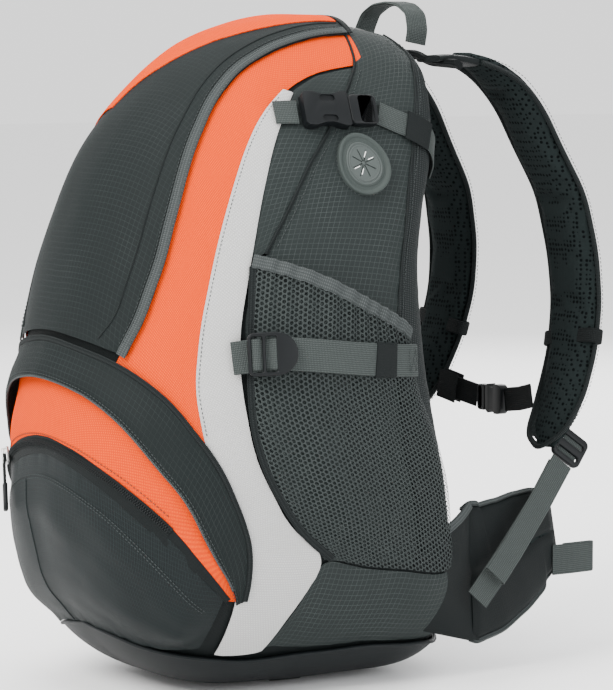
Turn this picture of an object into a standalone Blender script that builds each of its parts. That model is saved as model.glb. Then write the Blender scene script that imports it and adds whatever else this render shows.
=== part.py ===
"""A stuffed two-compartment daypack with a padded harness. Metres, +Z up.

+X is the wearer's right, +Y points at the wearer, and the bag stands on its base at z = 0.
All tables are in millimetres and are brought to metres by MM.
"""
import math

import bmesh
import bpy
import numpy as np
from mathutils import Matrix, Vector

MM = 0.001
HUB = np.array([0.0, -30.0, 265.0])
OUTLINE = [
    (-197, 262), (-188, 320), (-172, 372), (-147, 424), (-110, 468), (-66, 500), (-14, 517),
    (40, 521), (84, 512), (106, 492), (104, 452), (88, 400), (77, 340), (76, 280), (86, 220),
    (98, 160), (107, 105), (112, 62), (106, 26), (78, 7), (20, 4.5), (-40, 4.5), (-103, 9),
    (-147, 32), (-173, 68), (-188, 120), (-197, 190),
]
WIDTH_AT = [0, 30, 90, 150, 210, 270, 330, 390, 440, 480, 530]
WIDTH = [132, 141, 147, 149, 148, 146, 141, 134, 126, 117, 106]
POWER_AT = [0, 40, 75, 95, 120, 140, 180, 220, 245, 270, 300, 330, 360]
POWER = [2.2, 2.15, 2.4, 2.8, 3.4, 4.4, 4.6, 4.6, 4.4, 4.2, 3.2, 2.6, 2.2]
WALL = 3.0

FLAP_EDGE = [
    (81, -176, 269), (88, -163, 296), (91, -148, 340), (87, -132, 384), (78, -113, 425), (70, -93, 458),
    (64, -66, 482), (62, -35, 500), (62, 5, 512), (62, 40, 516),
]
ORANGE_IN = [
    (124, -142, 232), (119, -129, 290), (113, -114, 348), (104, -99, 392), (95, -81, 428),
    (88, -62, 455), (84, -40, 472), (83, -5, 484), (84, 36, 489),
]
WHITE_BACK = [
    (90, -33, 468), (104, -60, 428), (116, -79, 384), (125, -94, 339), (130, -107, 290),
    (135, -110, 253), (142, -102, 194), (145, -73, 139), (144, -38, 113), (129, -67, 64),
    (112, -77, 40),
]
WHITE_FRONT = [
    (86, -40, 471), (91.5, -62, 455), (98.5, -80, 428), (107.5, -97, 392), (116.5, -112, 348),
    (122.5, -127, 290), (129, -137, 245), (139, -116, 157), (139, -102, 118), (131, -104, 90), (123, -104, 70),
    (105, -107, 42),
]
HOOD_TOP = [(0, -196, 279), (44, -191, 272), (78, -177, 262), (109, -156, 238), (132, -127, 191),
            (139, -108, 141), (137, -102, 116), (129, -104, 86)]
HOOD_LOW = [(0, -198, 250), (42, -192, 244), (69, -186, 232), (93, -175, 212), (122, -147, 165),
            (130, -122, 108), (130, -112, 94), (127, -110, 82)]
POCKET_TOP = [(0, -197, 197), (26, -195, 194), (52, -190, 186), (77, -183, 172), (97, -170, 155),
              (115, -154, 132), (125, -131, 105), (127, -117, 84)]
BASE_RIM = [(0, -166, 52), (42, -160, 49), (73, -144, 42), (95, -118, 35), (112, -46, 31),
            (118, 20, 28), (112, 80, 26), (80, 108, 26), (0, 112, 26)]
MESH_HEM = [(126, -93, 336), (138, -55, 322), (143, -14, 302), (141, 40, 275)]
MESH_FLOOR = [(144, -34, 111), (143, 0, 102), (141, 40, 97), (132, 84, 93)]


def spread(points, per):
    """A closed smooth run of points through the given ones."""
    p = np.array(points, float)
    out = []
    for i in range(len(p)):
        a, b, c, d = p[i - 1], p[i], p[(i + 1) % len(p)], p[(i + 2) % len(p)]
        for t in np.arange(per) / per:
            bend = (2 * a - 5 * b + 4 * c - d) * t * t + (3 * b - a - 3 * c + d) * t ** 3
            out.append(0.5 * (2 * b + (c - a) * t + bend))
    return np.array(out)


def softened(values, reach):
    """A running mean that keeps the ends."""
    padded = np.pad(values, reach, mode="edge")
    return np.convolve(padded, np.ones(2 * reach + 1) / (2 * reach + 1), "valid")


_side = spread(OUTLINE, 12)
_turn = np.arctan2(_side[:, 1] - HUB[2], HUB[1] - _side[:, 0]) % (2 * np.pi)
_far = np.hypot(_side[:, 1] - HUB[2], HUB[1] - _side[:, 0])
_order = np.argsort(_turn)
TURN, FAR = _turn[_order], _far[_order]
HEIGHTS = np.linspace(-50, 600, 261)
HALF = softened(np.interp(HEIGHTS, WIDTH_AT, WIDTH), 12)
DEGREES = np.arange(-60.0, 421.0)
FULLNESS = softened(np.interp(DEGREES, POWER_AT, POWER, period=360), 15)


def level(p):
    """Below 1 inside the bag and 1 on its skin."""
    turn = np.arctan2(p[..., 2] - HUB[2], HUB[1] - p[..., 1]) % (2 * np.pi)
    rho = np.hypot(p[..., 2] - HUB[2], HUB[1] - p[..., 1])
    n = np.interp(np.degrees(turn), DEGREES, FULLNESS)
    ring = (rho / np.interp(turn, TURN, FAR, period=2 * np.pi)) ** n
    return (ring + (np.abs(p[..., 0]) / np.interp(p[..., 2], HEIGHTS, HALF)) ** n) ** (1 / n)


def cast(start, way):
    """Where rays that start inside leave the bag."""
    start, way = np.broadcast_arrays(np.asarray(start, float), np.asarray(way, float))
    low = np.zeros(start.shape[:-1])
    high = np.full(start.shape[:-1], 600.0)
    for _ in range(32):
        mid = (low + high) / 2
        inside = level(start + way * mid[..., None]) < 1
        low = np.where(inside, mid, low)
        high = np.where(inside, high, mid)
    return start + way * high[..., None]


def outward(p):
    """The skin's outward direction."""
    steps = np.eye(3) * 2.0
    g = np.stack([level(p + s) - level(p - s) for s in steps], -1)
    return g / np.linalg.norm(g, axis=-1, keepdims=True)


def snap(p, off=0.0):
    """The skin point in line with p from the hub, then off millimetres along the normal."""
    p = np.asarray(p, float)
    way = p - HUB
    way = way / np.linalg.norm(way, axis=-1, keepdims=True)
    q = cast(HUB, way)
    return q + outward(q) * np.asarray(off, float)[..., None]


def along(points, count, lead=0.0, trail=0.0):
    """Evenly spaced points on a polyline, smoothed a little."""
    p = np.array(points, float)
    run = np.concatenate([[0], np.cumsum(np.linalg.norm(np.diff(p, axis=0), axis=1))])
    fine = np.linspace(0, run[-1], 400)
    q = np.stack([softened(np.interp(fine, run, p[:, k]), 14) for k in range(p.shape[1])], -1)
    q[0], q[-1] = p[0], p[-1]
    at = np.linspace(lead * run[-1], (1 - trail) * run[-1], count)
    return np.stack([np.interp(at, fine, q[:, k]) for k in range(p.shape[1])], -1)


def flipped(points):
    """The same run on the wearer's left."""
    return [(-x, y, z) for x, y, z in points]


def whole(points):
    """A run from the left mirror image through the middle to the right."""
    return flipped(points)[:0:-1] + list(points)


def clear():
    for obj in list(bpy.data.objects):
        bpy.data.objects.remove(obj, do_unlink=True)
    for group in list(bpy.data.collections):
        bpy.data.collections.remove(group)


clear()
PACK = bpy.data.collections.new("daypack")
CUTTERS = bpy.data.collections.new("cutters")
bpy.context.scene.collection.children.link(PACK)
bpy.context.scene.collection.children.link(CUTTERS)
MATERIALS = {}


def paint(name, colour, rough, metal=0.0):
    m = bpy.data.materials.new(name)
    m.use_nodes = True
    shader = m.node_tree.nodes["Principled BSDF"]
    shader.inputs["Base Color"].default_value = (*colour, 1.0)
    shader.inputs["Roughness"].default_value = rough
    shader.inputs["Metallic"].default_value = metal
    m.diffuse_color = (*colour, 1.0)
    return m


LOOKS = {
    "dark": ((0.035, 0.045, 0.045), 0.75, 0.0),
    "side": ((0.09, 0.11, 0.105), 0.75, 0.0),
    "orange": ((0.85, 0.2, 0.05), 0.7, 0.0),
    "white": ((0.7, 0.7, 0.68), 0.7, 0.0),
    "base": ((0.018, 0.02, 0.022), 0.6, 0.0),
    "web": ((0.13, 0.15, 0.145), 0.8, 0.0),
    "plastic": ((0.012, 0.014, 0.016), 0.4, 0.0),
    "rubber": ((0.17, 0.2, 0.19), 0.6, 0.0),
    "mesh": ((0.06, 0.07, 0.07), 0.85, 0.0),
    "metal": ((0.4, 0.4, 0.4), 0.35, 1.0),
}


def node(name, verts, faces, look, group=PACK):
    """Makes one object from millimetre points."""
    mesh = bpy.data.meshes.new(name)
    mesh.from_pydata([Vector(v) * MM for v in np.asarray(verts, float).tolist()], [], faces)
    bm = bmesh.new()
    bm.from_mesh(mesh)
    bmesh.ops.remove_doubles(bm, verts=bm.verts, dist=1e-6)
    bmesh.ops.recalc_face_normals(bm, faces=bm.faces)
    bm.to_mesh(mesh)
    bm.free()
    obj = bpy.data.objects.new(name, mesh)
    group.objects.link(obj)
    if group is PACK:
        colour, rough, metal = LOOKS[look]
        mesh.materials.append(paint(name, colour, rough, metal))
    else:
        obj.hide_render = True
        obj.display_type = "WIRE"
    return obj


def cut(obj, cutter, operation="DIFFERENCE"):
    mod = obj.modifiers.new("cut_" + cutter.name, "BOOLEAN")
    mod.operation = operation
    mod.solver = "EXACT"
    mod.object = cutter
    return obj


def slab(name, inner, outer, look, group=PACK, loop=False):
    """A closed sheet between two equal grids. loop joins the grid's first and last rows."""
    rows, cols = inner.shape[:2]
    size = rows * cols

    def at(i, j, side):
        return side * size + (i % rows) * cols + j

    faces = []
    for i in range(rows if loop else rows - 1):
        for j in range(cols - 1):
            faces.append([at(i, j, 1), at(i + 1, j, 1), at(i + 1, j + 1, 1), at(i, j + 1, 1)])
            faces.append([at(i, j, 0), at(i, j + 1, 0), at(i + 1, j + 1, 0), at(i + 1, j, 0)])
        for j in (0, cols - 1):
            faces.append([at(i, j, 0), at(i + 1, j, 0), at(i + 1, j, 1), at(i, j, 1)])
    if not loop:
        for i in (0, rows - 1):
            for j in range(cols - 1):
                faces.append([at(i, j, 0), at(i, j + 1, 0), at(i, j + 1, 1), at(i, j, 1)])
    verts = np.concatenate([inner.reshape(-1, 3), outer.reshape(-1, 3)])
    return node(name, verts, faces, look, group)


def panel(name, edge_a, edge_b, look, low, high, count, across, group=PACK, trim=0.006):
    """A sheet laid on the skin between two runs. low and high may be functions of (s, t)."""
    a = along(edge_a, count, trim, trim)
    b = along(edge_b, count, trim, trim)
    t = np.linspace(trim, 1 - trim, across)
    grid = a[:, None] * (1 - t)[None, :, None] + b[:, None] * t[None, :, None]
    s = np.linspace(0, 1, count)
    ss, tt = np.meshgrid(s, t, indexing="ij")
    under = low(ss, tt) if callable(low) else np.full(ss.shape, float(low))
    over = high(ss, tt) if callable(high) else np.full(ss.shape, float(high))
    return slab(name, snap(grid, under), snap(grid, over), look, group)


def frames(path, face):
    """Unit directions along a path and across its face."""
    p = np.asarray(path, float)
    way = np.gradient(p, axis=0)
    way /= np.linalg.norm(way, axis=1, keepdims=True)
    f = np.broadcast_to(np.asarray(face, float), p.shape)
    f = f - way * np.sum(f * way, axis=1, keepdims=True)
    f /= np.linalg.norm(f, axis=1, keepdims=True)
    return p, way, f, np.cross(way, f)


def sweep(name, path, face, widths, thick, look, corner=0.0):
    """A strap of rectangular or eight-sided section. face points out of its flat side."""
    p, way, f, side = frames(path, face)
    w = np.broadcast_to(np.asarray(widths, float), (len(p),)) / 2
    h = np.broadcast_to(np.asarray(thick, float), (len(p),)) / 2
    if corner:
        shape = [(-1, -0.35), (-0.82, -1), (0.82, -1), (1, -0.35), (1, 0.35), (0.82, 1),
                 (-0.82, 1), (-1, 0.35)]
    else:
        shape = [(-1, -1), (1, -1), (1, 1), (-1, 1)]
    rings = [p + side * (w * a)[:, None] + f * (h * b)[:, None] for a, b in shape]
    verts = np.stack(rings, 1).reshape(-1, 3)
    k = len(shape)
    faces = [list(range(k)), [(len(p) - 1) * k + i for i in range(k)]]
    for i in range(len(p) - 1):
        for j in range(k):
            n = (j + 1) % k
            faces.append([i * k + j, i * k + n, (i + 1) * k + n, (i + 1) * k + j])
    return node(name, verts, faces, look)


def block(name, size, centre, look, axes=None, group=PACK):
    """A box with its own axes, the rows of axes."""
    a = np.eye(3) if axes is None else np.asarray(axes, float)
    corners = [(x, y, z) for x in (-0.5, 0.5) for y in (-0.5, 0.5) for z in (-0.5, 0.5)]
    verts = [np.asarray(centre) + (np.array(c) * size) @ a for c in corners]
    faces = [[0, 1, 3, 2], [4, 6, 7, 5], [0, 4, 5, 1], [2, 3, 7, 6], [0, 2, 6, 4], [1, 5, 7, 3]]
    return node(name, verts, faces, look, group)


def plate(name, outline, thick, centre, axes, look, group=PACK):
    """A flat plate: outline in its first two axes, thick along the third."""
    a = np.asarray(axes, float)
    n = len(outline)
    verts = []
    for side in (-0.5, 0.5):
        verts += [np.asarray(centre) + np.array([u, v, side * thick]) @ a for u, v in outline]
    faces = [list(range(n)), list(range(n, 2 * n))]
    faces += [[i, (i + 1) % n, n + (i + 1) % n, n + i] for i in range(n)]
    return node(name, verts, faces, look, group)


def rounded(w, h, r, steps=3):
    """Outline of a rectangle with round corners."""
    out = []
    for k, (cx, cy) in enumerate([(1, 1), (-1, 1), (-1, -1), (1, -1)]):
        for i in range(steps + 1):
            a = math.pi / 2 * (k + i / steps)
            out.append((cx * (w / 2 - r) + r * math.cos(a), cy * (h / 2 - r) + r * math.sin(a)))
    return out


def basis(first, third):
    """Right-handed axes from a first direction and a rough third one."""
    a = np.asarray(first, float)
    a = a / np.linalg.norm(a)
    c = np.asarray(third, float)
    c = c - a * (a @ c)
    c = c / np.linalg.norm(c)
    return np.array([a, np.cross(c, a), c])


def pivot(obj, at):
    """Moves an object's origin to a point without moving its mesh."""
    place = Vector([v * MM for v in at])
    obj.data.transform(Matrix.Translation(-place))
    obj.location = place
    return obj


def both(make):
    """Runs a maker for the wearer's right (+1) and left (-1)."""
    for side, tag in ((1, "right"), (-1, "left")):
        make(side, tag)


def on(points, side):
    return [(x * side, y, z) for x, y, z in points]


def ball(name, rings, around, off, group):
    """The skin as a closed mesh, moved off along its normal."""
    tilt = np.radians(np.linspace(-90, 90, rings + 2)[1:-1])
    turn = np.radians(np.arange(around) * 360.0 / around)
    p, t = np.meshgrid(tilt, turn, indexing="ij")
    way = np.stack([np.sin(p), -np.cos(p) * np.cos(t), np.cos(p) * np.sin(t)], -1)
    q = cast(HUB, way)
    tips = cast(HUB, np.array([[-1.0, 0, 0], [1.0, 0, 0]]))
    verts = np.concatenate([q.reshape(-1, 3), tips])
    verts = verts + outward(verts) * off
    faces = []
    for i in range(rings - 1):
        for j in range(around):
            k = (j + 1) % around
            faces.append([i * around + j, i * around + k, (i + 1) * around + k, (i + 1) * around + j])
    for j in range(around):
        k = (j + 1) % around
        faces.append([j, rings * around, k])
        faces.append([(rings - 1) * around + j, (rings - 1) * around + k, rings * around + 1])
    return node(name, verts, faces, "dark", group)


# main compartment: a hollow skin with the U-shaped mouth cut from its front
shell = ball("main_shell", 25, 56, -1.0, PACK)
hollow = ball("cut_inside", 21, 48, -1.0 - WALL, CUTTERS)
mouth_edge = [(x - 9, y, z) for x, y, z in FLAP_EDGE[1:]]
mouth_edge[0] = (78, -164, 304)
mouth = panel("cut_mouth", flipped(mouth_edge), mouth_edge, "dark", -14, 14, 12, 9, CUTTERS)
cut(shell, hollow)
cut(shell, mouth)


def quilt(name, runs, look, low, high, count, across, trim=0.004):
    """A sheet on the skin through several runs, from the first to the last."""
    rows = np.stack([along(r, count, trim, trim) for r in runs])
    t = np.linspace(trim, 1 - trim, across) * (len(runs) - 1)
    k = np.clip(t.astype(int), 0, len(runs) - 2)
    f = (t - k)[:, None, None]
    grid = (rows[k] * (1 - f) + rows[k + 1] * f).transpose(1, 0, 2)
    s, u = np.meshgrid(np.linspace(0, 1, count), np.linspace(0, 1, across), indexing="ij")
    under = low(s, u) if callable(low) else np.full(s.shape, float(low))
    over = high(s, u) if callable(high) else np.full(s.shape, float(high))
    return slab(name, snap(grid, under), snap(grid, over), look)


# the opening flap, proud of the orange bands it overlaps
def flap_top(s, t):
    rim = np.clip(np.minimum(t, 1 - t) / 0.12, 0, 1)
    return 5.0 - 0.8 * rim


FLAP_AXIS = (0.0, -206.0, 265.0)
FLAP_LOW = [(0, -196, 284), (0, -188, 320), (0, -172, 372), (0, -147, 424), (0, -110, 468),
            (0, -66, 500), (0, -14, 517), (0, 42, 521)]
FLAP_RUNS = [flipped(FLAP_EDGE), [(-x * 0.55, y, z) for x, y, z in FLAP_EDGE], FLAP_LOW,
             [(x * 0.55, y, z) for x, y, z in FLAP_EDGE], FLAP_EDGE]
FLAP_RUNS[1][0] = (-44, -190, 279)
FLAP_RUNS[3][0] = (44, -190, 279)
flap = quilt("front_panel", FLAP_RUNS, "dark", 3.0, flap_top, 15, 13)
pivot(flap, FLAP_AXIS)

FLAP_UNDER = [(x - 7, y, z) for x, y, z in FLAP_EDGE]


def bands(side, tag):
    panel("orange_band_" + tag, on(FLAP_UNDER, side), on(ORANGE_IN, side), "orange", 1.1, 2.4, 17, 4)
    panel("white_band_" + tag, on(WHITE_FRONT, side), on(WHITE_BACK, side), "white", 1.1, 2.4, 19, 3)


both(bands)

# main zip: a track beside the far edge of the flap, and a slider that rides on a circle
ZIP_HUB = np.array([-112.82, 25.89, 359.51])
ZIP_AXIS = np.array([0.9566, 0.0556, -0.286])
ZIP_RADIUS = 150.9
zip_run = along(flipped(FLAP_EDGE), 26, 0.02, 0.0)
zip_face = outward(snap(zip_run))
zip_side = np.cross(np.gradient(zip_run, axis=0), zip_face)
zip_side /= np.linalg.norm(zip_side, axis=1, keepdims=True)
zip_side *= -np.sign(zip_side[:, :1])
zip_path = snap(zip_run + zip_side * 9.0, 3.6)
sweep("main_zip_track", zip_path, zip_face, 5.5, 1.4, "plastic")


def carriage(hub, axis, radius, toward, lean, lift):
    """Centre and axes (across, along, out) of a slider on a circle, in line with a point.

    out leans from the circle's plane by the skin's tilt there, which is the same all along.
    """
    spoke = np.asarray(toward, float) - hub
    spoke = spoke - axis * (spoke @ axis)
    spoke = spoke / np.linalg.norm(spoke)
    out = axis * lean + spoke * math.sqrt(1 - lean * lean)
    way = np.cross(spoke, axis)
    return hub + spoke * radius + out * lift, np.array([np.cross(way, out), way, out])


def slider(name, centre, axes, look):
    """A zip slider: a bridge over a flat body."""
    body = [(-5, -2), (5, -2), (5, 0.6), (1.6, 0.6), (1.6, 3.4), (-1.6, 3.4), (-1.6, 0.6), (-5, 0.6)]
    obj = plate(name, body, 12, centre, [axes[0], axes[2], np.cross(axes[0], axes[2])], look)
    hole = block("cut_" + name, (8, 5, 1.9), centre + axes[2] * 1.85, look, axes, CUTTERS)
    return cut(obj, hole)


def tab(name, eye, axis, way, wide, long, look):
    """A pull whose crossbar turns in a slider's bridge and that hangs along way."""
    a = np.asarray(axis, float)
    w = np.asarray(way, float)
    w = w - a * (w @ a)
    w = w / np.linalg.norm(w)
    half = wide / 2
    outline = [(-4, -0.6), (4, -0.6), (4, 8), (half, 10), (half, long - 2), (half - 2, long),
               (2 - half, long), (-half, long - 2), (-half, 10), (-4, 8)]
    axes = [a, w, np.cross(a, w)]
    obj = plate(name, outline, 1.2, eye, axes, look)
    window = block("cut_" + name, (4.8, 6.4, 4), np.asarray(eye) + w * 3.8, look, axes, CUTTERS)
    return pivot(cut(obj, window), eye)


centre, axes = carriage(ZIP_HUB, ZIP_AXIS, ZIP_RADIUS, (-69.6, 27, 504), -0.845, 3.1)
pivot(slider("main_zip_slider", centre, axes, "metal"), ZIP_HUB)
MAIN_EYE = centre + axes[2] * 1.85
rear = axes[1] * math.copysign(1, axes[1][1])
tab("main_zip_pull", MAIN_EYE, axes[0], rear * 0.86 + axes[2] * 0.50, 9, 34, "web")

# front pockets: the hood lies over the upper pocket, whose lower seam carries the zip
POCKET_HUB = np.array([0.0, -126.9, 88.2])
POCKET_AXIS = np.array([0.0, 0.7976, 0.6032])
POCKET_RADIUS = 131.9
HOOD_MID = [tuple((np.array(a) + np.array(b)) / 2) for a, b in zip(HOOD_TOP, HOOD_LOW)]
POCKET_FOOT = [(0, -166, 55), (42, -160, 53), (73, -146, 47), (102, -124, 44)]


def rise(t, start, end):
    u = np.clip((t - start) / (end - start), 0, 1)
    return u * u * (3 - 2 * u)


def sides(s, reach=0.1):
    return rise(np.minimum(s, 1 - s), 0, reach)


def upper_top(s, t):
    return 3.0 + 4.2 * sides(s) * rise(t, 0.1, 0.6)


def lower_top(s, t):
    return 3.0 + sides(s) * (4.2 + 6.0 * rise(t, 0, 0.35)) * (1 - rise(t, 0.62, 1.0))


def hood_under(s, t):
    return 3.6 + sides(s, 0.16) * 7.4 * rise(t, 0, 0.9)


panel("front_pocket_upper", whole(HOOD_MID), whole(POCKET_TOP), "orange",
      lambda s, t: upper_top(s, t) - 1.8, upper_top, 29, 8)
panel("front_pocket_lower", whole(POCKET_TOP), whole(POCKET_FOOT), "dark",
      lambda s, t: lower_top(s, t) - 1.8, lower_top, 29, 12, trim=0.008)
panel("pocket_hood", whole(HOOD_TOP), whole(HOOD_LOW), "dark", hood_under,
      lambda s, t: hood_under(s, t) + 1.8, 29, 6)
turns = np.radians(np.linspace(-64, 64, 33))
top_way = np.cross(np.array([1.0, 0, 0]), POCKET_AXIS)
top_way = top_way * math.copysign(1, top_way[2])
pocket_arc = POCKET_HUB + POCKET_RADIUS * (
    np.sin(turns)[:, None] * np.array([1.0, 0, 0]) + np.cos(turns)[:, None] * top_way)
pocket_arc = snap(pocket_arc, 8.6)
pocket_face = outward(snap(pocket_arc))
sweep("pocket_zip_track", pocket_arc, pocket_face, 6.0, 1.2, "plastic")
turn = math.radians(-34)
spot = POCKET_HUB + POCKET_RADIUS * (math.sin(turn) * np.array([1.0, 0, 0]) + math.cos(turn) * top_way)
# the pocket slider runs on the outside of its track, square to the skin
pocket_out = outward(snap(spot[None]))[0]
pocket_down = POCKET_HUB - spot
pocket_down = pocket_down - pocket_out * (pocket_down @ pocket_out)
pocket_down = pocket_down / np.linalg.norm(pocket_down)
pocket_axes = np.array([np.cross(pocket_down, pocket_out), pocket_down, pocket_out])
pocket_centre = snap(spot[None], [12.2])[0]
pivot(slider("pocket_zip_slider", pocket_centre, pocket_axes, "metal"), POCKET_HUB)
POCKET_EYE = pocket_centre + pocket_out * 1.85
tab("pocket_zip_pull", POCKET_EYE, pocket_axes[0], pocket_down + pocket_out * 0.06, 8, 46, "web")

# base: a dark bowl under everything, flat where it stands
rim = np.array(BASE_RIM, float)
ring = np.concatenate([along(rim, 17)[:-1], along(rim[::-1] * [-1, 1, 1], 17)[:-1]])
centre_down = np.array([0.0, -10.0, 4.0])
steps = np.linspace(0, 0.82, 7)
bowl = ring[:, None] * (1 - steps)[None, :, None] + centre_down * steps[None, :, None]
inner = snap(bowl, 1.0)
outer = snap(bowl, 3.6)
outer[..., 2] = np.where(outer[..., 2] < 3.0, 0.0, outer[..., 2])
inner[..., 2] = np.maximum(inner[..., 2], 3.0)


def bowl_shape(name, inside, outside, look):
    """A dish: rings of points, each pair of innermost rings filled."""
    count, deep = inside.shape[:2]
    verts = np.concatenate([inside.reshape(-1, 3), outside.reshape(-1, 3)])
    size = count * deep
    faces = []
    for i in range(count):
        k = (i + 1) % count
        for j in range(deep - 1):
            faces.append([size + i * deep + j, size + k * deep + j,
                          size + k * deep + j + 1, size + i * deep + j + 1])
            faces.append([i * deep + j, i * deep + j + 1, k * deep + j + 1, k * deep + j])
        faces.append([i * deep, k * deep, size + k * deep, size + i * deep])
    faces.append([i * deep + deep - 1 for i in range(count)])
    faces.append([size + i * deep + deep - 1 for i in range(count)])
    return node(name, verts, faces, look)


bowl_shape("base_panel", inner, outer, "base")


PINS = {}
MESH_RUNS = [
    MESH_HEM,
    [(136, -102, 253), (146, -40, 250), (146, 0, 244), (139, 46, 236)],
    [(142, -97, 196), (148, -30, 194), (147, 20, 190), (134, 72, 186)],
    [(146, -68, 141), (148, -20, 140), (146, 30, 138), (131, 88, 136)],
    MESH_FLOOR,
]
SIDE_TOP = [(147, -35, 106), (144, 0, 98), (142, 40, 93), (133, 84, 89)]
SIDE_FOOT = [(117, -72, 42), (118, -46, 36), (121, 20, 33), (113, 82, 31)]


def mesh_top(s, t):
    return 3.0 + 13.0 * np.sin(np.pi * np.clip(s, 0, 1)) ** 0.8 * (1 - rise(t, 0.45, 1.0))


def side_parts(side, tag):
    quilt("mesh_pocket_" + tag, [on(r, side) for r in MESH_RUNS], "mesh",
          lambda s, t: mesh_top(s, t) - 1.6, mesh_top, 13, 11)
    hem = along(on(MESH_HEM, side), 13, 0.01, 0.01)
    s = np.linspace(0, 1, 13)
    path = snap(hem, mesh_top(s, 0 * s) - 0.8)
    path[:, 2] += 6.2
    sweep("mesh_hem_" + tag, path, outward(snap(path)), 8.0, 2.2, "web")
    panel("side_lower_" + tag, on(SIDE_TOP, side), on(SIDE_FOOT, side), "side", 1.1, 2.4, 9, 4)
    # upper compression strap: front piece, buckle halves, rear piece with its tail
    front = snap(along(on([(91, -64, 450), (98, -36, 449)], side), 3), 4.2)
    sweep("upper_web_front_" + tag, front, outward(snap(front)), 20, 1.4, "web")
    start = snap(np.array([[98.5 * side, -33, 449]]), [7.5])[0]
    end = snap(np.array([[107 * side, 27, 447.5]]), [7.5])[0]
    out = outward(snap(np.array([(start + end) / 2])))[0]
    ax = basis(end - start, out)
    span = np.linalg.norm(end - start)
    mid = start + ax[0] * 19
    female = plate("upper_buckle_female_" + tag, rounded(38, 29, 5), 8.4, mid, ax, "plastic")
    cut(female, block("cut_bay_" + tag, (30, 19, 4.6), mid + ax[0] * 9, "plastic", ax, CUTTERS))
    oval = plate("cut_oval_" + tag, rounded(15, 9, 4.4), 8, mid + ax[0] * 1 + ax[2] * 4, ax,
                 "plastic", CUTTERS)
    cut(female, oval)
    tail = start + ax[0] * (38.6 + (span - 38.6) / 2)
    male = plate("upper_buckle_male_" + tag, rounded(span - 38.6, 25, 3), 7.6, tail, ax, "plastic")
    for v in (-6.4, 6.4):
        prong = block("cut_prong_%d_%s" % (v > 0, tag), (26, 4.6, 3.4),
                      start + ax[0] * 31.5 + ax[1] * v, "plastic", ax, CUTTERS)
        cut(male, prong, "UNION")
    rear_run = on([(107.5, 31, 447), (111, 46, 441), (112, 66, 430), (109, 92, 417)], side)
    rear_path = snap(along(rear_run, 8), 4.4)
    sweep("upper_web_rear_" + tag, rear_path, outward(snap(rear_path)), 20, 1.4, "web")
    # lower compression strap over the mesh pocket, with its ladder lock
    low_run = along(on([(132, -116, 268), (139, -85, 271), (146, -40, 267), (147, 7, 262), (142, 42, 259)],
                       side), 15)
    u = np.linspace(0, 1, 15)
    lift = 6.0 + 13.2 * np.sin(np.pi * np.clip((u - 0.04) / 0.96, 0, 1)) ** 0.62
    low_path = snap(low_run, lift)
    sweep("lower_web_" + tag, low_path, outward(snap(low_path)), 25, 1.4, "web")
    at = (low_path[2] + low_path[3]) / 2
    way = low_path[4] - low_path[1]
    la = basis(way, outward(snap(at[None]))[0])
    spot = at + la[2] * 4.6
    lock = plate("lower_lock_" + tag, rounded(38, 33, 5), 5.0, spot, la, "plastic")
    for v in (-9.5, 2.5):
        slot = plate("cut_slot_%d_%s" % (v > 0, tag), rounded(3.6, 26, 1.2), 12,
                     spot + la[0] * v, la, "plastic", CUTTERS)
        cut(lock, slot)
    PINS["SIDE_PIN_" + tag] = spot + la[0] * 15
    PINS["SIDE_AXIS_" + tag] = la[1]
    pivot(lock, PINS["SIDE_PIN_" + tag])


both(side_parts)

# drinking-tube port on the wearer's right
port_at = snap(np.array([[122.0, 7, 410]]), [4.0])[0]
port_out = outward(snap(port_at[None]))[0]
port_axes = basis(np.array([0.0, 0.94, 0.34]), port_out)
egg = []
for k in range(28):
    a = 2 * math.pi * k / 28
    egg.append((21.5 * math.cos(a) * (1 - 0.13 * math.sin(a)), 25 * math.sin(a)))
port = plate("cable_port", egg, 4.6, port_at, port_axes, "rubber")
for k in range(4):
    a = math.pi * k / 4 + 0.2
    ray = np.array([math.cos(a), math.sin(a), 0]) @ port_axes
    cut(port, block("cut_ray_%d" % k, (22, 1.4, 3.0), port_at + port_out * 2.3 - port_axes[1] * 3,
                    "rubber", basis(ray, port_out), CUTTERS))

# back: frame sheet and sleeve inside, padding outside
BACK = [(88, 90, 462), (86, 76, 400), (86, 66, 340), (86, 66, 280), (88, 80, 215), (92, 92, 160)]


def back_face(runs, off):
    """Points on the back face in line with y from inside."""
    p = np.asarray(runs, float)
    start = p.copy()
    start[..., 1] = HUB[1]
    q = cast(start, np.array([0.0, 1.0, 0.0]))
    return q + outward(q) * np.asarray(off, float)[..., None]


def back_sheet(name, half, low_z, high_z, near, far, look, rows=12, cols=9):
    z = np.linspace(high_z, low_z, rows)
    x = np.linspace(-half, half, cols)
    zz, xx = np.meshgrid(z, x, indexing="ij")
    grid = np.stack([xx, 0 * xx, zz], -1)
    edge = np.minimum(1, np.minimum((half - np.abs(xx)) / 10, (high_z - zz + 0.01) / 12))
    edge = np.minimum(edge, (zz - low_z + 0.01) / 12).clip(0, 1)
    inside = back_face(grid, np.full(xx.shape, float(near)))
    outside = back_face(grid, near + 1.5 + (far - near - 1.5) * np.sqrt(edge))
    if far < 0:
        outside = back_face(grid, np.full(xx.shape, float(far)))
    return slab(name, inside, outside, look)


back_sheet("back_pad", 88, 152, 452, 1.6, 11.0, "mesh", 14, 9)
back_sheet("lumbar_pad", 76, 42, 146, 1.6, 14.0, "mesh", 7, 9)
back_sheet("frame_sheet", 70, 90, 424, -9.0, -10.6, "plastic", 14, 7)


z = np.linspace(455, 170, 9)
x = np.linspace(-70, 70, 7)
zz, xx = np.meshgrid(z, x, indexing="ij")
sleeve = np.stack([xx, 0 * xx, zz], -1)
slab("hydration_sleeve", back_face(sleeve, np.full(xx.shape, -15.0)),
     back_face(sleeve, np.full(xx.shape, -16.5)), "side")

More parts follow.
